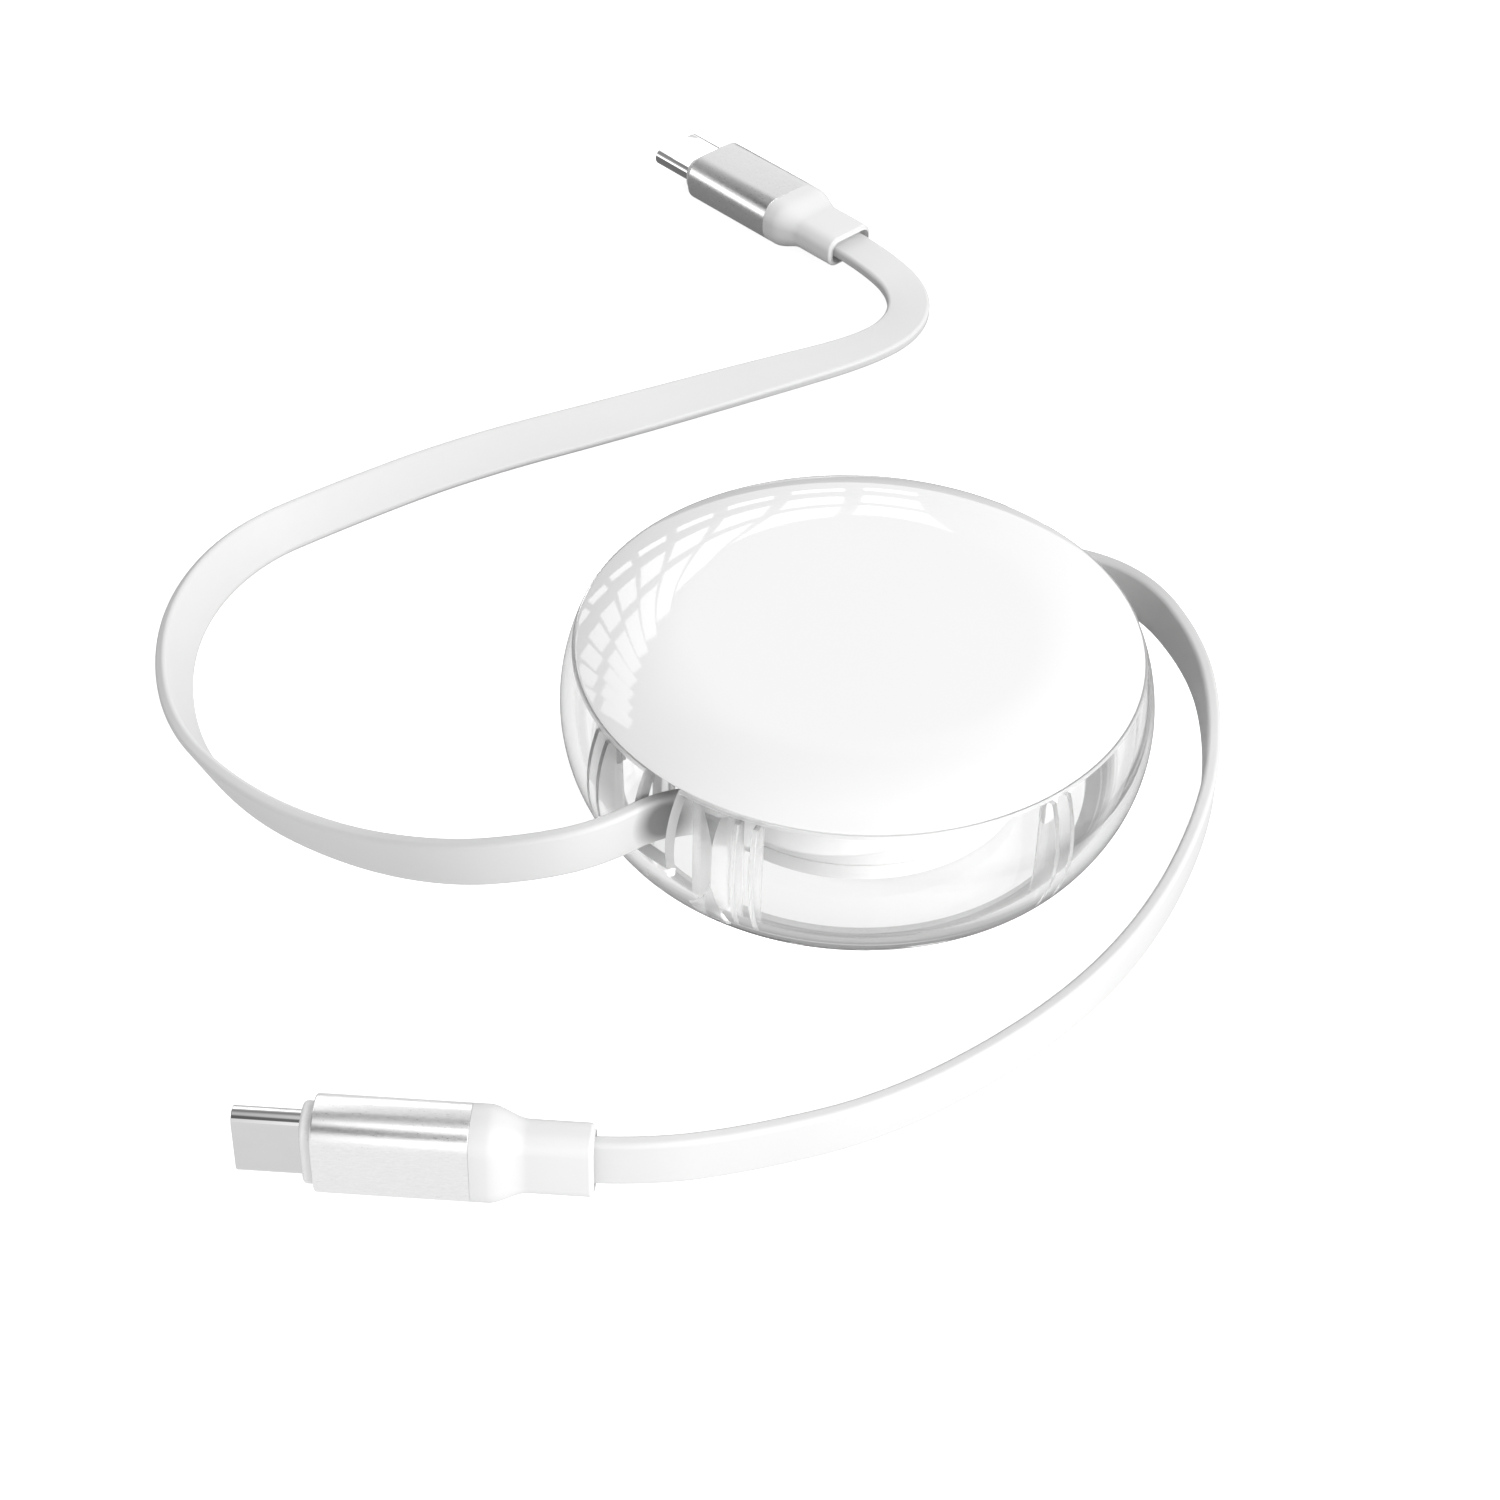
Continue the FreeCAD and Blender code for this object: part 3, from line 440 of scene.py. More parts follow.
def barrelRadius(height, inset):
    # radius of the barrel wall at a height: two arcs that share a vertical tangent at the belly
    bulge = case["lowBulge"] if height < case["bellyHeight"] else case["highBulge"]
    rise = height - case["bellyHeight"]
    return case["reelRadius"] - bulge + math.sqrt((bulge - inset) ** 2 - rise ** 2)


def barrelWall(low, high, inset):
    # wall points from one height to another, evenly spaced in angle round each arc's centre
    out = []
    for bulge, start, end in ((case["lowBulge"], min(low, high), case["bellyHeight"]),
                              (case["highBulge"], case["bellyHeight"], max(low, high))):
        radius = bulge - inset
        turn = np.linspace(math.asin((start - case["bellyHeight"]) / radius),
                           math.asin((end - case["bellyHeight"]) / radius), case["wallSteps"])
        out.append(np.stack([case["reelRadius"] - bulge + radius * np.cos(turn),
                             case["bellyHeight"] + radius * np.sin(turn)], -1))
    wall = np.concatenate([out[0], out[1][1:]])
    return wall if low < high else wall[::-1]


def barrelOutline(inset):
    # from the base's centre round the heel to the seam; the heel's arc touches the base and the lower wall
    c = case
    spoke = c["lowBulge"] - c["baseRound"]
    lean = math.asin((c["bellyHeight"] - c["baseRound"]) / spoke)
    turn = np.linspace(-math.pi / 2, -lean, c["heelSteps"])[:, None]
    centre = (c["reelRadius"] - c["lowBulge"] + spoke * math.cos(lean), c["baseRound"])
    heel = np.array(centre) + (c["baseRound"] - inset) * np.concatenate([np.cos(turn), np.sin(turn)], 1)
    wall = barrelWall(heel[-1][1], c["seamHeight"], inset)
    return np.concatenate([[(0, inset)], heel, wall[1:]])


def boxTool(name, angle, radial, across, upright, finish):
    # a box in mm whose length runs out along a compass angle
    shape = bmesh.new()
    bmesh.ops.create_cube(shape, size=1)
    low = np.array([radial[0], across[0], upright[0]])
    high = np.array([radial[1], across[1], upright[1]])
    place = Matrix.Rotation(math.radians(angle), 4, "Z")
    for corner in shape.verts:
        corner.co = place @ Vector((low + (np.array(corner.co) + 0.5) * (high - low)) * mm)
    return toolPiece(name, shape, finish)


def rodTool(name, angle, out, aside, radius, upright, finish):
    # an upright rod in mm, placed out along a compass angle and to the side of it
    shape = bmesh.new()
    bmesh.ops.create_cone(shape, cap_ends=True, segments=exits["rodSegments"], radius1=radius * mm,
                          radius2=radius * mm, depth=(upright[1] - upright[0]) * mm)
    place = Matrix.Rotation(math.radians(angle), 4, "Z") @ Matrix.Translation(
        Vector((out, aside, (upright[0] + upright[1]) / 2)) * mm)
    bmesh.ops.transform(shape, matrix=place, verts=shape.verts)
    return toolPiece(name, shape, finish)


def toolPiece(name, shape, finish):
    mesh = bpy.data.meshes.new(name)
    shape.to_mesh(mesh)
    shape.free()
    mesh.materials.append(finish)
    return addObject(name, mesh)


def addBoolean(piece, operation, tool):
    change = piece.modifiers.new(operation, "BOOLEAN")
    change.operation = operation
    change.solver = "EXACT"
    change.material_mode = "TRANSFER"
    change.object = tool


def carve(mesh, steps):
    # applies a list of (operation, tools) to a mesh and gives the new mesh; the tools are removed
    work = addObject("work", mesh)
    for operation, tools in steps:
        for tool in tools:
            addBoolean(work, operation, tool)
    bpy.context.view_layer.update()
    result = bpy.data.meshes.new_from_object(work.evaluated_get(bpy.context.evaluated_depsgraph_get()))
    for leftover in [work] + [tool for operation, tools in steps for tool in tools]:
        bpy.data.objects.remove(leftover)
    return result


def makeLowerCase():
    # closed profile: up the outer wall, over the rim, down inside, up the post and down its screw hole
    c = case
    seam = c["seamHeight"]
    inner = barrelWall(seam, c["floor"], c["wall"])
    profile = roundCorners(
        [tuple(p) for p in barrelOutline(0)[:-1]] +
        [(barrelRadius(seam, inset), seam, c["rimRound"]) for inset in (0, c["wall"])] +
        [tuple(p) for p in inner[1:-1]] +
        [(inner[-1][0], c["floor"], c["floorRound"]), (c["postRadius"], c["floor"], c["postFoot"]),
         (c["postRadius"], c["postTop"], c["postEdge"]), (c["pilotRadius"], c["postTop"]),
         (c["pilotRadius"], c["pilotBottom"]), (0, c["pilotBottom"])])
    mesh = gridMesh("lowerCase", turnedPoints(profile, c["segments"]))
    joined = []
    cut = [boxTool("ballSlot", finish=clearCase, **ballSlot)]
    ribReach = (c["reelRadius"] - c["wall"] - ribs["depth"], c["reelRadius"])
    stock = (exits["embed"], ribs["top"])
    for angle in ribs["angles"]:
        for side in (-1, 1):
            middle = side * ribs["spacing"] / 2
            across = (middle - ribs["thickness"] / 2, middle + ribs["thickness"] / 2)
            joined.append(boxTool("rib", angle, ribReach, across, stock, ribGrain))
    half = exits["halfWidth"]
    for exitAngle, leadAngle in exits["angles"]:
        gap = math.radians(exitAngle - leadAngle)
        along, aside = c["reelRadius"] * math.cos(gap), c["reelRadius"] * math.sin(gap)
        joined.append(rodTool("guidePost", leadAngle, along - exits["guideSetback"],
                              aside - half - exits["guideRadius"], exits["guideRadius"], stock, ribGrain))
        front = along - exits["blockSetback"]
        joined.append(boxTool("guideBlock", leadAngle, (front - exits["blockLength"], front),
                              (aside + half, aside + half + exits["blockWidth"]), stock, ribGrain))
        cut.append(boxTool("notch", leadAngle, (along - exits["guideSetback"], along + c["reelRadius"]),
                           (aside - half, aside + half), (exits["bottom"], cap["height"]), slotGrain))
    # ribs and guides are kept inside the outer wall
    bounds = barrelOutline(exits["embed"])
    bounds = np.concatenate([bounds, [(0, bounds[-1][1])]])
    blank = addObject("blank", gridMesh("blank", turnedPoints(bounds, c["segments"])))
    for tool in joined:
        addBoolean(tool, "INTERSECT", blank)
    mesh.materials.append(clearCase)
    mesh = carve(mesh, [("UNION", joined), ("DIFFERENCE", cut)])
    bpy.data.objects.remove(blank)
    # painted shade: the rim's faces just under the cap take the darker rim finish
    mesh.materials.append(rimGrainAndShade)
    for face in mesh.polygons:
        if face.center.z > (seam - 2 * c["rimRound"]) * mm:
            face.material_index = mesh.materials.find(rimGrainAndShade.name)
    closeMesh(mesh, c["keenAngle"])
    return dressPiece("lowerCase", mesh, clearCase, "reel", ["lower_case"])


def capRound():
    # the cap's rim arc starts level at the crown and ends at the seam: r = (run^2 + drop^2) / (2 drop)
    run = barrelRadius(case["seamHeight"], 0) - cap["crownRadius"]
    drop = cap["height"] - case["seamHeight"]
    return (run ** 2 + drop ** 2) / (2 * drop)


def rimHeight(crown, radius, reach):
    # height of the rim arc at a distance from the axis
    return crown - radius + math.sqrt(radius ** 2 - (reach - cap["crownRadius"]) ** 2)


def makeCap():
    # closed profile: out under the crown, down and round the lip, out to the seam and back over the crown
    c = cap
    seam, top = case["seamHeight"], c["height"]
    outerRound = capRound()
    innerRound = outerRound - c["wall"]
    rim = barrelRadius(seam, 0)
    lipOuter = barrelRadius(seam, case["wall"]) - c["fitGap"]
    lipInner = lipOuter - c["lipWall"]
    crownInner = top - c["wall"]
    lipBottom = seam - c["lipDepth"]
    archEnd = (lipInner, rimHeight(crownInner, innerRound, lipInner))
    inner = arcPoints((c["crownRadius"], crownInner), archEnd, innerRound, -1, c["innerSteps"])
    outer = arcPoints((rim, seam), (c["crownRadius"], top), outerRound, 1, c["outerSteps"])
    profile = roundCorners(
        [(0, crownInner), (c["crownRing"], crownInner)] + [tuple(p) for p in inner[:-1]] +
        [tuple(inner[-1]) + (c["archRound"],), (lipInner, lipBottom, c["lipRound"]),
         (lipOuter, lipBottom, c["lipRound"]), (lipOuter, seam, c["seatRound"]),
         (rim, seam, case["rimRound"])] +
        [tuple(p) for p in outer[1:]] + [(c["crownRing"], top), (0, top)])
    mesh = gridMesh("upperCase", turnedPoints(profile, case["segments"]))
    tabReach = (lipInner + c["tabInset"], lipOuter - c["tabInset"])
    tabHeight = (lipBottom - c["tabLength"], lipBottom + c["tabSink"])
    tabs = [boxTool("tab", angle, tabReach, (-c["tabWidth"] / 2, c["tabWidth"] / 2), tabHeight, whiteCap)
            for angle in ribs["angles"]]
    mesh.materials.append(whiteCap)
    mesh = carve(mesh, [("UNION", tabs)])
    closeMesh(mesh, case["keenAngle"])
    return dressPiece("upperCase", mesh, whiteCap, "reel", ["upper_case"])


makeLowerCase()
makeCap()
print("reel case made")

# spool with its drum, and the winding
spoolSize = dict(bore=3.9, drumRadius=19.6, drumWall=1.6, drumLow=4.3, drumInside=9.1, drumTop=9.8,
                 hubRadius=8.5, hubRound=0.4, flangeLow=16.2, flangeTop=17.2, flangeRadius=19.9, edge=0.25)
coilSize = dict(bore=8.55, radius=20.0, low=10.1, top=15.9, turns=7, turnSteps=16, crown=0.45)


def makeSpool():
    # closed profile of the drum, the hub above it and the top flange
    s = spoolSize
    edge = s["edge"]
    drumBore = s["drumRadius"] - s["drumWall"]
    profile = roundCorners([
        (s["bore"], s["drumInside"]), (drumBore, s["drumInside"], edge), (drumBore, s["drumLow"], edge),
        (s["drumRadius"], s["drumLow"], edge), (s["drumRadius"], s["drumTop"], edge),
        (s["hubRadius"], s["drumTop"], s["hubRound"]), (s["hubRadius"], s["flangeLow"], s["hubRound"]),
        (s["flangeRadius"], s["flangeLow"], edge), (s["flangeRadius"], s["flangeTop"], edge),
        (s["bore"], s["flangeTop"], edge), (s["bore"], s["drumInside"])])
    return gridPiece("spool", turnedPoints(profile), whiteMoulding, "spool", ["spool"])


def makeCoil():
    # turns side by side: each scallops the top and bottom edges by dip = crown (1 - sqrt |sin|)
    c = coilSize
    across = np.linspace(c["bore"], c["radius"], c["turns"] * c["turnSteps"] + 1)
    phase = (across - c["bore"]) / (c["radius"] - c["bore"]) * c["turns"]
    dip = c["crown"] * (1 - np.sqrt(np.abs(np.sin(np.pi * phase))))
    upper = np.stack([across, c["top"] - dip], -1)
    lower = np.stack([across, c["low"] + dip], -1)
    profile = np.concatenate([lower, upper[::-1], lower[:1]])
    return gridPiece("windings", turnedPoints(profile), cableJacket, "spool",
                     ["wound_cable"])


makeSpool()
makeCoil()
print("spool and winding made")

# plugs, in mm: x runs along the plug from the sleeve's rear end to the tip
# a section across it is a half width, a half height and a corner radius
plug = dict(sleeveLength=15.4, sleeveHalf=(5.3, 3.3, 2.8), sleeveWall=0.55, sleeveEdge=0.22,
            collarFront=16.6, collarHalf=(4.6, 2.5, 2.1), collarRound=0.45,
            shellBack=11.4, shellTip=23.4, shellHalf=(4.125, 1.2, 1.2), shellWall=0.25, shellEdge=0.1,
            bootLength=11.8, bootShoulder=1.6, bootTaper=4.0, bootSteps=25, bootRim=0.25, bootWall=0.6,
            neckHalf=(4.1, 2.2, 1.8), recess=1.4, throatHalf=(3.1, 1.0, 0.5), throatDepth=3.0,
            joint=0.06, fit=0.05)
section = dict(cornerPoints=12, leastCorner=0.02, poleSize=1e-9)


def sectionRing(stations):
    # each station is x and a section: a rectangle with round corners as a ring of points
    x, wide, high, corner = (np.array(column, float)[:, None] for column in zip(*stations))
    quarter = section["cornerPoints"]
    angle = np.concatenate([np.linspace(k, k + 1, quarter) for k in range(4)]) * np.pi / 2
    signY = np.repeat([1, -1, -1, 1], quarter)
    signZ = np.repeat([1, 1, -1, -1], quarter)
    y = signY * (wide - corner) + corner * np.cos(angle)
    z = signZ * (high - corner) + corner * np.sin(angle)
    return np.stack([x + 0 * y, y, z], -1)


def placedRings(stations, end):
    # the plug's own axes into the frame: roll about its axis, then yaw about Z, then its spot
    place = plugPlaces[end]
    yaw = Matrix.Rotation(math.radians(place["yaw"]), 3, "Z")
    roll = Matrix.Rotation(math.radians(place["roll"]), 3, "X")
    return (sectionRing(stations) @ np.array(yaw @ roll).T + np.array(place["spot"])) * mm


def grown(half, change):
    # a section grown or shrunk all round, with its corners kept concentric
    return half[0] + change, half[1] + change, max(half[2] + change, section["leastCorner"])


def edgeRing(x, half, radius, forward, steps=5):
    # quarter-round edge at an end: from the side surface round to the end face, or back with forward = -1
    angle = np.linspace(0, np.pi / 2, steps)
    return [(x - forward * radius * (1 - math.sin(a)),) + grown(half, radius * (math.cos(a) - 1))
            for a in angle]


def pole(x):
    # closes an end: a section so small that its points are merged
    return [(x,) + (section["poleSize"],) * 3]


def makeSleeve(end):
    # tube with a crisp rear edge and a rounded front one
    p = plug
    bore = grown(p["sleeveHalf"], -p["sleeveWall"])
    stations = (edgeRing(0, p["sleeveHalf"], p["joint"], -1)[::-1] +
                edgeRing(p["sleeveLength"], p["sleeveHalf"], p["sleeveEdge"], 1) +
                [(p["sleeveLength"],) + bore, (0,) + bore])
    return gridPiece(end + "Sleeve", placedRings(stations, end), brushedSleeves[end], "reel",
                     [end + "_plug_sleeve"], wrapRows=True)


def makeCore(end):
    # block inside the sleeve, with the collar in front and the shell's socket
    p = plug
    inside = grown(p["sleeveHalf"], -p["sleeveWall"] - p["fit"])
    opening = grown(p["shellHalf"], p["fit"])
    front = p["sleeveLength"] - p["fit"]
    stations = (pole(0) + [(0,) + inside, (front,) + inside, (front,) + p["collarHalf"]] +
                edgeRing(p["collarFront"], p["collarHalf"], p["collarRound"], 1) +
                [(p["collarFront"],) + opening, (p["shellBack"],) + opening] + pole(p["shellBack"]))
    return gridPiece(end + "Core", placedRings(stations, end), whiteMoulding, "reel",
                     [end + "_plug_core"])


def makeShell(end):
    # tube with rounded edges at the tip
    p = plug
    bore = grown(p["shellHalf"], -p["shellWall"])
    stations = ([(p["shellBack"],) + p["shellHalf"]] +
                edgeRing(p["shellTip"], p["shellHalf"], p["shellEdge"], 1) +
                edgeRing(p["shellTip"], bore, -p["shellEdge"], -1)[::-1] + [(p["shellBack"],) + bore])
    return gridPiece(end + "Shell", placedRings(stations, end), platedShell, "reel",
                     [end + "_plug_shell"], wrapRows=True)


def makeBoot(end):
    # the section falls from the sleeve's to the neck's along a smooth step, s = t^2 (3 - 2 t)
    p = plug
    along = np.linspace(0, 1, p["bootSteps"])
    share = along ** 2 * (3 - 2 * along)
    big, small = np.array(p["sleeveHalf"]), np.array(p["neckHalf"])
    taper = [(-p["bootShoulder"] - p["bootTaper"] * a,) + tuple(big + (small - big) * s)
             for a, s in zip(along, share)]
    rear = -p["bootLength"]
    mouth = grown(p["neckHalf"], -p["bootWall"])
    ledge, throat = rear + p["recess"], rear + p["throatDepth"]
    stations = (pole(0) + edgeRing(0, p["sleeveHalf"], p["joint"], 1)[::-1] + taper +
                edgeRing(rear, p["neckHalf"], p["bootRim"], -1) +
                edgeRing(rear, mouth, -p["bootRim"], -1)[::-1] +
                [(ledge,) + mouth, (ledge,) + p["throatHalf"], (throat,) + p["throatHalf"]] + pole(throat))
    return gridPiece(end + "Boot", placedRings(stations, end), bootRubber, "reel",
                     [end + "_cable_boot"])


plugPieces = {end: [make(end) for make in (makeSleeve, makeCore, makeShell, makeBoot)]
              for end in plugPlaces}
print("plugs made")

# flat cables, in mm; their routes run from the winding to the plugs
# each point of a route is in metres, with the lean of the broad side in degrees
cable = dict(halfWidth=2.9, halfThick=0.8, edgeRound=0.55, samples=12, order=3, keenAngle=60)
leftRoute = [
    (0.0106, -0.0183, 0.0130, 0),
    (0.0044, -0.0228, 0.0130, 0),
    (-0.0048, -0.0244, 0.0131, 0),
    (-0.0124, -0.0209, 0.0133, 0),
    (-0.0204, -0.0216, 0.0134, 0),
    (-0.0270, -0.0266, 0.0131, 0),
    (-0.0340, -0.0279, 0.0119, 0),
    (-0.0435, -0.0262, 0.0090, 3),
    (-0.0550, -0.0199, 0.0052, 12),
    (-0.0670, -0.0113, 0.0034, 19),
    (-0.0767, 0.0008, 0.0031, 31),
    (-0.0800, 0.0190, 0.0030, 33),
    (-0.0750, 0.0351, 0.0029, 40),
    (-0.0630, 0.0454, 0.0027, 48),
    (-0.0487, 0.0561, 0.0025, 53),
    (-0.0294, 0.0665, 0.0022, 60),
    (-0.0118, 0.0768, 0.0017, 74),
    (0.0026, 0.0854, 0.0011, 88),
    (0.0080, 0.0920, 0.0010, 90),
    (0.0083, 0.0990, 0.0017, 90),
    (0.00288, 0.10491, 0.0033, 90),
    (-0.00171, 0.10951, 0.0033, 90),
]
rightRoute = [
    (-0.0078, 0.0201, 0.0130, 0),
    (0.0060, 0.0230, 0.0130, 0),
    (0.0200, 0.0246, 0.0130, 0),
    (0.0330, 0.0235, 0.0105, 0),
    (0.0400, 0.0160, 0.0058, 0),
    (0.0413, 0.0055, 0.0033, 0),
    (0.0390, -0.0090, 0.0030, 0),
    (0.0315, -0.0270, 0.0030, 0),
    (0.0205, -0.0415, 0.0030, 0),
    (0.0040, -0.0545, 0.0030, 0),
    (-0.0115, -0.0606, 0.0036, 0),
    (-0.02188, -0.06403, 0.0053, 0),
    (-0.02837, -0.06373, 0.0053, 0),
]


def splinePoints(controls):
    # points along a smooth spline with these control points
    curve = bpy.data.curves.new("route", "CURVE")
    curve.dimensions = "3D"
    curve.resolution_u = cable["samples"]
    line = curve.splines.new("NURBS")
    line.points.add(len(controls) - 1)
    for point, spot in zip(line.points, controls):
        point.co = (*spot, 1)
    line.order_u = cable["order"]
    line.use_endpoint_u = True
    guide = addObject("route", curve)
    bpy.context.view_layer.update()
    mesh = bpy.data.meshes.new_from_object(guide.evaluated_get(bpy.context.evaluated_depsgraph_get()))
    out = np.array([vertex.co for vertex in mesh.vertices])
    bpy.data.objects.remove(guide)
    bpy.data.meshes.remove(mesh)
    return out


def makeCable(name, route, node, paintedShading, end):
    # ring at each point: the broad side turns by the lean from upright towards the left of the way along
    path = splinePoints([corner[:3] for corner in route])
    lean = np.radians(splinePoints([(corner[3], 0.0, 0.0) for corner in route])[:, 0])[:, None]
    heading = np.gradient(path, axis=0)
    heading /= np.linalg.norm(heading, axis=1, keepdims=True)
    leftward = np.cross((0, 0, 1), heading)
    leftward /= np.linalg.norm(leftward, axis=1, keepdims=True)
    upward = np.cross(heading, leftward)
    broad = upward * np.cos(lean) + leftward * np.sin(lean)
    face = np.cross(heading, broad)
    ring = sectionRing([(0, cable["halfWidth"], cable["halfThick"], cable["edgeRound"])])[0] * mm
    rings = path[:, None] + broad[:, None] * ring[None, :, 1:2] + face[:, None] * ring[None, :, 2:3]
    tips = [np.repeat(path[tip][None, None], ring.shape[0], 1) for tip in (0, -1)]
    points = np.concatenate([tips[0], rings, tips[1]])
    jacketWithPaintedShading = jacketFinish(name + "Jacket", jacketLook, paintedShading)
    piece = gridPiece(name, points, jacketWithPaintedShading, "reel", [node], keenAngle=cable["keenAngle"])
    inner = [nodes[end + part] for part in ("_contact_housing", "_contacts", "_paddle_board",
                                            "_cable_lead")]
    plugPieces[end] + inner
    return piece


# painted shade: the cables are darker in their slots
# the right one also has painted shade from the reel, and the left one painted light by the winding
leftPaintedShading = [((-0.0208, -0.0222, 0.0134), 0.0022, 0.0043, 0.26),
              ((0.0020, -0.0225, 0.0130), 0.0100, 0.0140, 1.3)]
rightPaintedShading = [((0.0186, 0.0245, 0.0130), 0.0022, 0.0043, 0.26),
               ((0.0330, 0.0240, 0.0105), 0.0030, 0.0240, 0.66)]
makeCable("leftCable", leftRoute, "left_cable", leftPaintedShading, "far")
makeCable("rightCable", rightRoute, "right_cable", rightPaintedShading, "near")

# finishes of the CAD nodes that stay
kept = {"spool_cover": whiteMoulding, "axle_washer": springSteel, "axle_screw": springSteel,
        "latch_ball": springSteel, "power_spring": springSteel}
for end in plugPlaces:
    kept[end + "_contact_housing"] = blackInsert
    kept[end + "_contacts"] = goldContact
    kept[end + "_paddle_board"] = greenBoard
    kept[end + "_cable_lead"] = cableJacket
for name, finish in kept.items():
    mesh = nodes[name].data
    mesh.materials.clear()
    mesh.materials.append(finish)
print("cables and inner pieces dressed")

# floor, light and camera
floorLook = dict(half=3.0, drop=0.0002, tone=0.9, rough=0.9, glow=0.75, through=0.98,
                 depthEdges=(-0.09, 0.12), depthGlow=(0.95, 0.22),
                 contactShadowEdges=(0.030, 0.050), contactShadowGlow=(0.35, 1.0))


def makeFloor():
    # white to the eye, with a soft bounce for the object that fades towards the back, and a painted
    # contact shadow that dims it close to the reel
    look = floorLook
    size, low = look["half"], -look["drop"]
    mesh = bpy.data.meshes.new("floor")
    corners = [(-size, -size, low), (size, -size, low), (size, size, low), (-size, size, low)]
    mesh.from_pydata(corners, [], [(0, 1, 2, 3)])
    floor = addObject("floor", mesh)
    finish, shader, signal = newFinish("paleFloor", {
        "Base Color": grey(look["tone"]), "Roughness": look["rough"], "Specular IOR Level": 0.0,
        "Emission Color": grey(1), "Emission Strength": look["glow"]})
    spot = objectSpot(signal)
    depth = signal.make("ShaderNodeSeparateXYZ", {}, {"Vector": spot}, "Y")
    bounce = smoothRange(signal, depth, look["depthEdges"], look["depthGlow"])
    # painted contact shadow: the bounce is dimmed near the reel's axis
    contact = smoothRange(signal, fromAxis(signal, spot), look["contactShadowEdges"], look["contactShadowGlow"])
    card = signal.make("ShaderNodeEmission", {}, {"Color": grey(1), "Strength": bounce * contact})
    seen = signal.make("ShaderNodeLightPath", {}, {}, "Is Camera Ray")
    through = signal.make("ShaderNodeLightPath", {}, {}, "Is Transmission Ray")
    pane = signal.make("ShaderNodeEmission", {}, {"Color": grey(1), "Strength": look["through"]})
    whole = Signal(finish.node_tree, shader.outputs[0])
    mixed = signal.make("ShaderNodeMixShader", {}, {0: through, 1: card, 2: pane})
    mixed = signal.make("ShaderNodeMixShader", {}, {0: seen, 1: mixed, 2: whole})
    mixed.into(finish.node_tree.nodes["Material Output"].inputs["Surface"])
    mesh.materials.append(finish)


# each stop of the bands is a height in the sky and a level
sky = dict(left=0.40, right=0.80, gain=2.0,
           backEdges=(-0.1, 0.4), rightEdges=(0.0, 0.9), leftEdges=(0.0, -0.7),
           front=((0, 0.80), (0.46, 0.80), (0.56, 0.12), (0.80, 0.12), (0.90, 0.50), (0.99, 0.50),
                  (0.999, 0.18)),
           back=((0, 0.52), (0.30, 0.46), (0.74, 0.44), (0.82, 0.20), (0.998, 0.18)))


def makeSky():
    # studio surround: bright and dark bands one above the other in front and behind, dimmed on the left
    world = bpy.data.worlds.new("studio")
    scene.world = world
    world.use_nodes = True
    signal = Signal(world.node_tree)
    way = signal.make("ShaderNodeTexCoord", {}, {}, "Generated")
    x, y, z = (signal.make("ShaderNodeSeparateXYZ", {}, {"Vector": way}, axis) for axis in "XYZ")
    front, back = (signal.make("ShaderNodeValToRGB", {"stops": sky[side]}, {"Fac": z}, "Color")
                   for side in ("front", "back"))
    backShare = smoothRange(signal, y, sky["backEdges"])
    rightShare = smoothRange(signal, x, sky["rightEdges"])
    leftShare = smoothRange(signal, x, sky["leftEdges"])
    middle = sky["gain"] * front * (1 - backShare) + sky["gain"] * back * backShare
    level = middle * (1 - rightShare) * (1 - (1 - sky["left"]) * leftShare) + sky["right"] * rightShare
    backdrop = world.node_tree.nodes["Background"]
    backdrop.inputs["Color"].default_value = grey(1)
    level.into(backdrop.inputs["Strength"])


def lightGroup(name, members, state="INCLUDE"):
    # pieces that a lamp is kept to, or that it leaves out
    group = bpy.data.collections.new(name)
    for member in members:
        group.objects.link(bpy.data.objects[member])
    for entry in group.collection_objects:
        entry.light_linking.link_state = state
    return group


clearPieces = lightGroup("clearPieces", ("lowerCase",), "EXCLUDE")
noPanes = lightGroup("noPanes", ("farSleeve",), "EXCLUDE")
insidePieces = lightGroup("insidePieces", ("spool", "windings"))
farPlug = lightGroup("farPlug", ("farSleeve", "farShell", "farBoot"))
farTip = lightGroup("farTip", ("farShell",))
nearBand = lightGroup("nearBand", ("nearSleeve",))

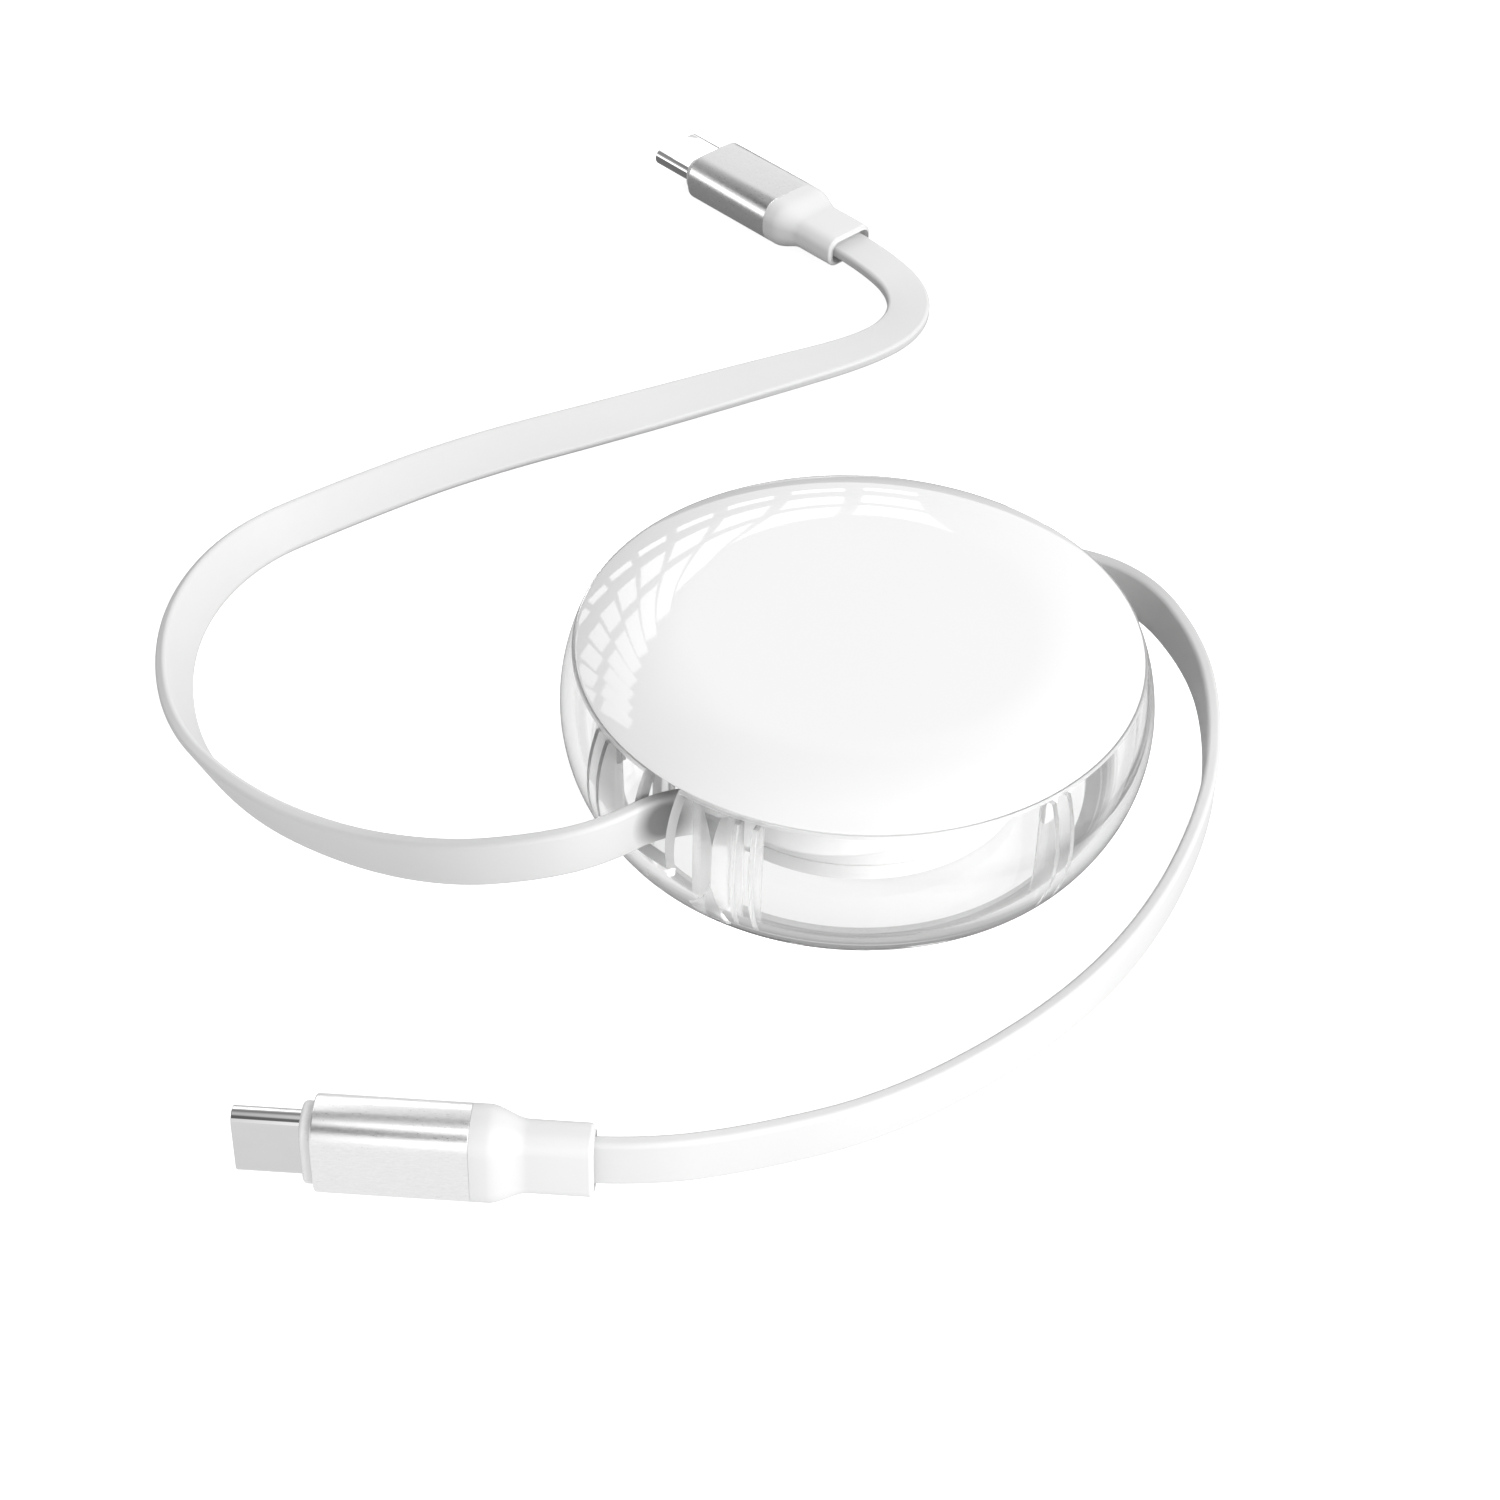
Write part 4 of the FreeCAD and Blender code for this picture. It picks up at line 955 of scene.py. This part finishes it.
# lights stand round the reel and face one spot in it
# azimuth is from +Y towards -X, and angles are in degrees
lightAim = (0, 0, 0.02)
panes = dict(distance=1.6, azimuths=range(-4, 47, 5), rows=((10.0, 0.09), (20.5, 0.19), (30.5, 0.22)),
             climb=0.3, width=0.10, brightness=1.9)
lamps = {
    "keyLight": dict(azimuth=238.0, elevation=34.0, distance=1.5, width=1.2, height=1.2, brightness=4.2,
                     receivers=None),
    "fillLight": dict(azimuth=184.0, elevation=14.0, distance=1.4, width=1.6, height=0.6, brightness=4.4,
                      receivers=insidePieces),
    "stripLight": dict(azimuth=96.0, elevation=9.0, distance=1.2, width=1.3, height=0.36, brightness=1.6,
                       receivers=farPlug),
    "cardLight": dict(azimuth=2.0, elevation=30.0, distance=1.2, width=0.6, height=0.5, brightness=1.5,
                      receivers=farTip),
    "bandLight": dict(azimuth=180.0, elevation=72.0, distance=1.2, width=1.2, height=0.34, brightness=0.8,
                      receivers=nearBand),
}


def areaLight(name, azimuth, elevation, distance, width, height, brightness, receivers):
    # rectangle of even brightness: its power is brightness x pi x area
    # the clear case casts no shadow from it
    light = bpy.data.lights.new(name, "AREA")
    light.shape = "RECTANGLE"
    light.size = width
    light.size_y = height
    light.energy = brightness * math.pi * width * height
    lamp = addObject(name, light)
    lamp.light_linking.blocker_collection = clearPieces
    lamp.light_linking.receiver_collection = receivers
    a, e = math.radians(azimuth), math.radians(elevation)
    spot = (-distance * math.sin(a) * math.cos(e), distance * math.cos(a) * math.cos(e),
            distance * math.sin(e))
    turn = (Vector(lightAim) - Vector(spot)).to_track_quat("-Z", "Y").to_matrix().to_4x4()
    lamp.matrix_world = Matrix.Translation(spot) @ turn


def makeLights():
    # rows of window panes behind on the left, a broad soft light on the right in front
    # and four lamps that reach only a few pieces each
    for azimuth in panes["azimuths"]:
        for elevation, height in panes["rows"]:
            rise = elevation + panes["climb"] * azimuth
            areaLight("pane", azimuth, rise, panes["distance"], panes["width"], height,
                      panes["brightness"], noPanes)
    for name, lamp in lamps.items():
        areaLight(name, **lamp)


view = dict(spot=(-0.011714, -0.273181, 0.239526), pitch=40.824, roll=1.618, lens=76.69, sensor=36.0,
            clipStart=0.005)


def makeCamera():
    # looks down by the pitch along +Y and is rolled about its own line of sight
    camera = bpy.data.cameras.new("camera")
    camera.lens = view["lens"]
    camera.sensor_width = view["sensor"]
    camera.clip_start = view["clipStart"]
    eye = addObject("camera", camera)
    tilt = Matrix.Rotation(math.radians(90 - view["pitch"]), 4, "X")
    roll = Matrix.Rotation(math.radians(view["roll"]), 4, "Z")
    eye.matrix_world = Matrix.Translation(view["spot"]) @ (tilt @ roll)
    scene.camera = eye


makeFloor()
makeSky()
makeLights()
makeCamera()
scene.view_settings.view_transform = "Standard"
scene.view_settings.look = "None"
print("stage, light and camera made")
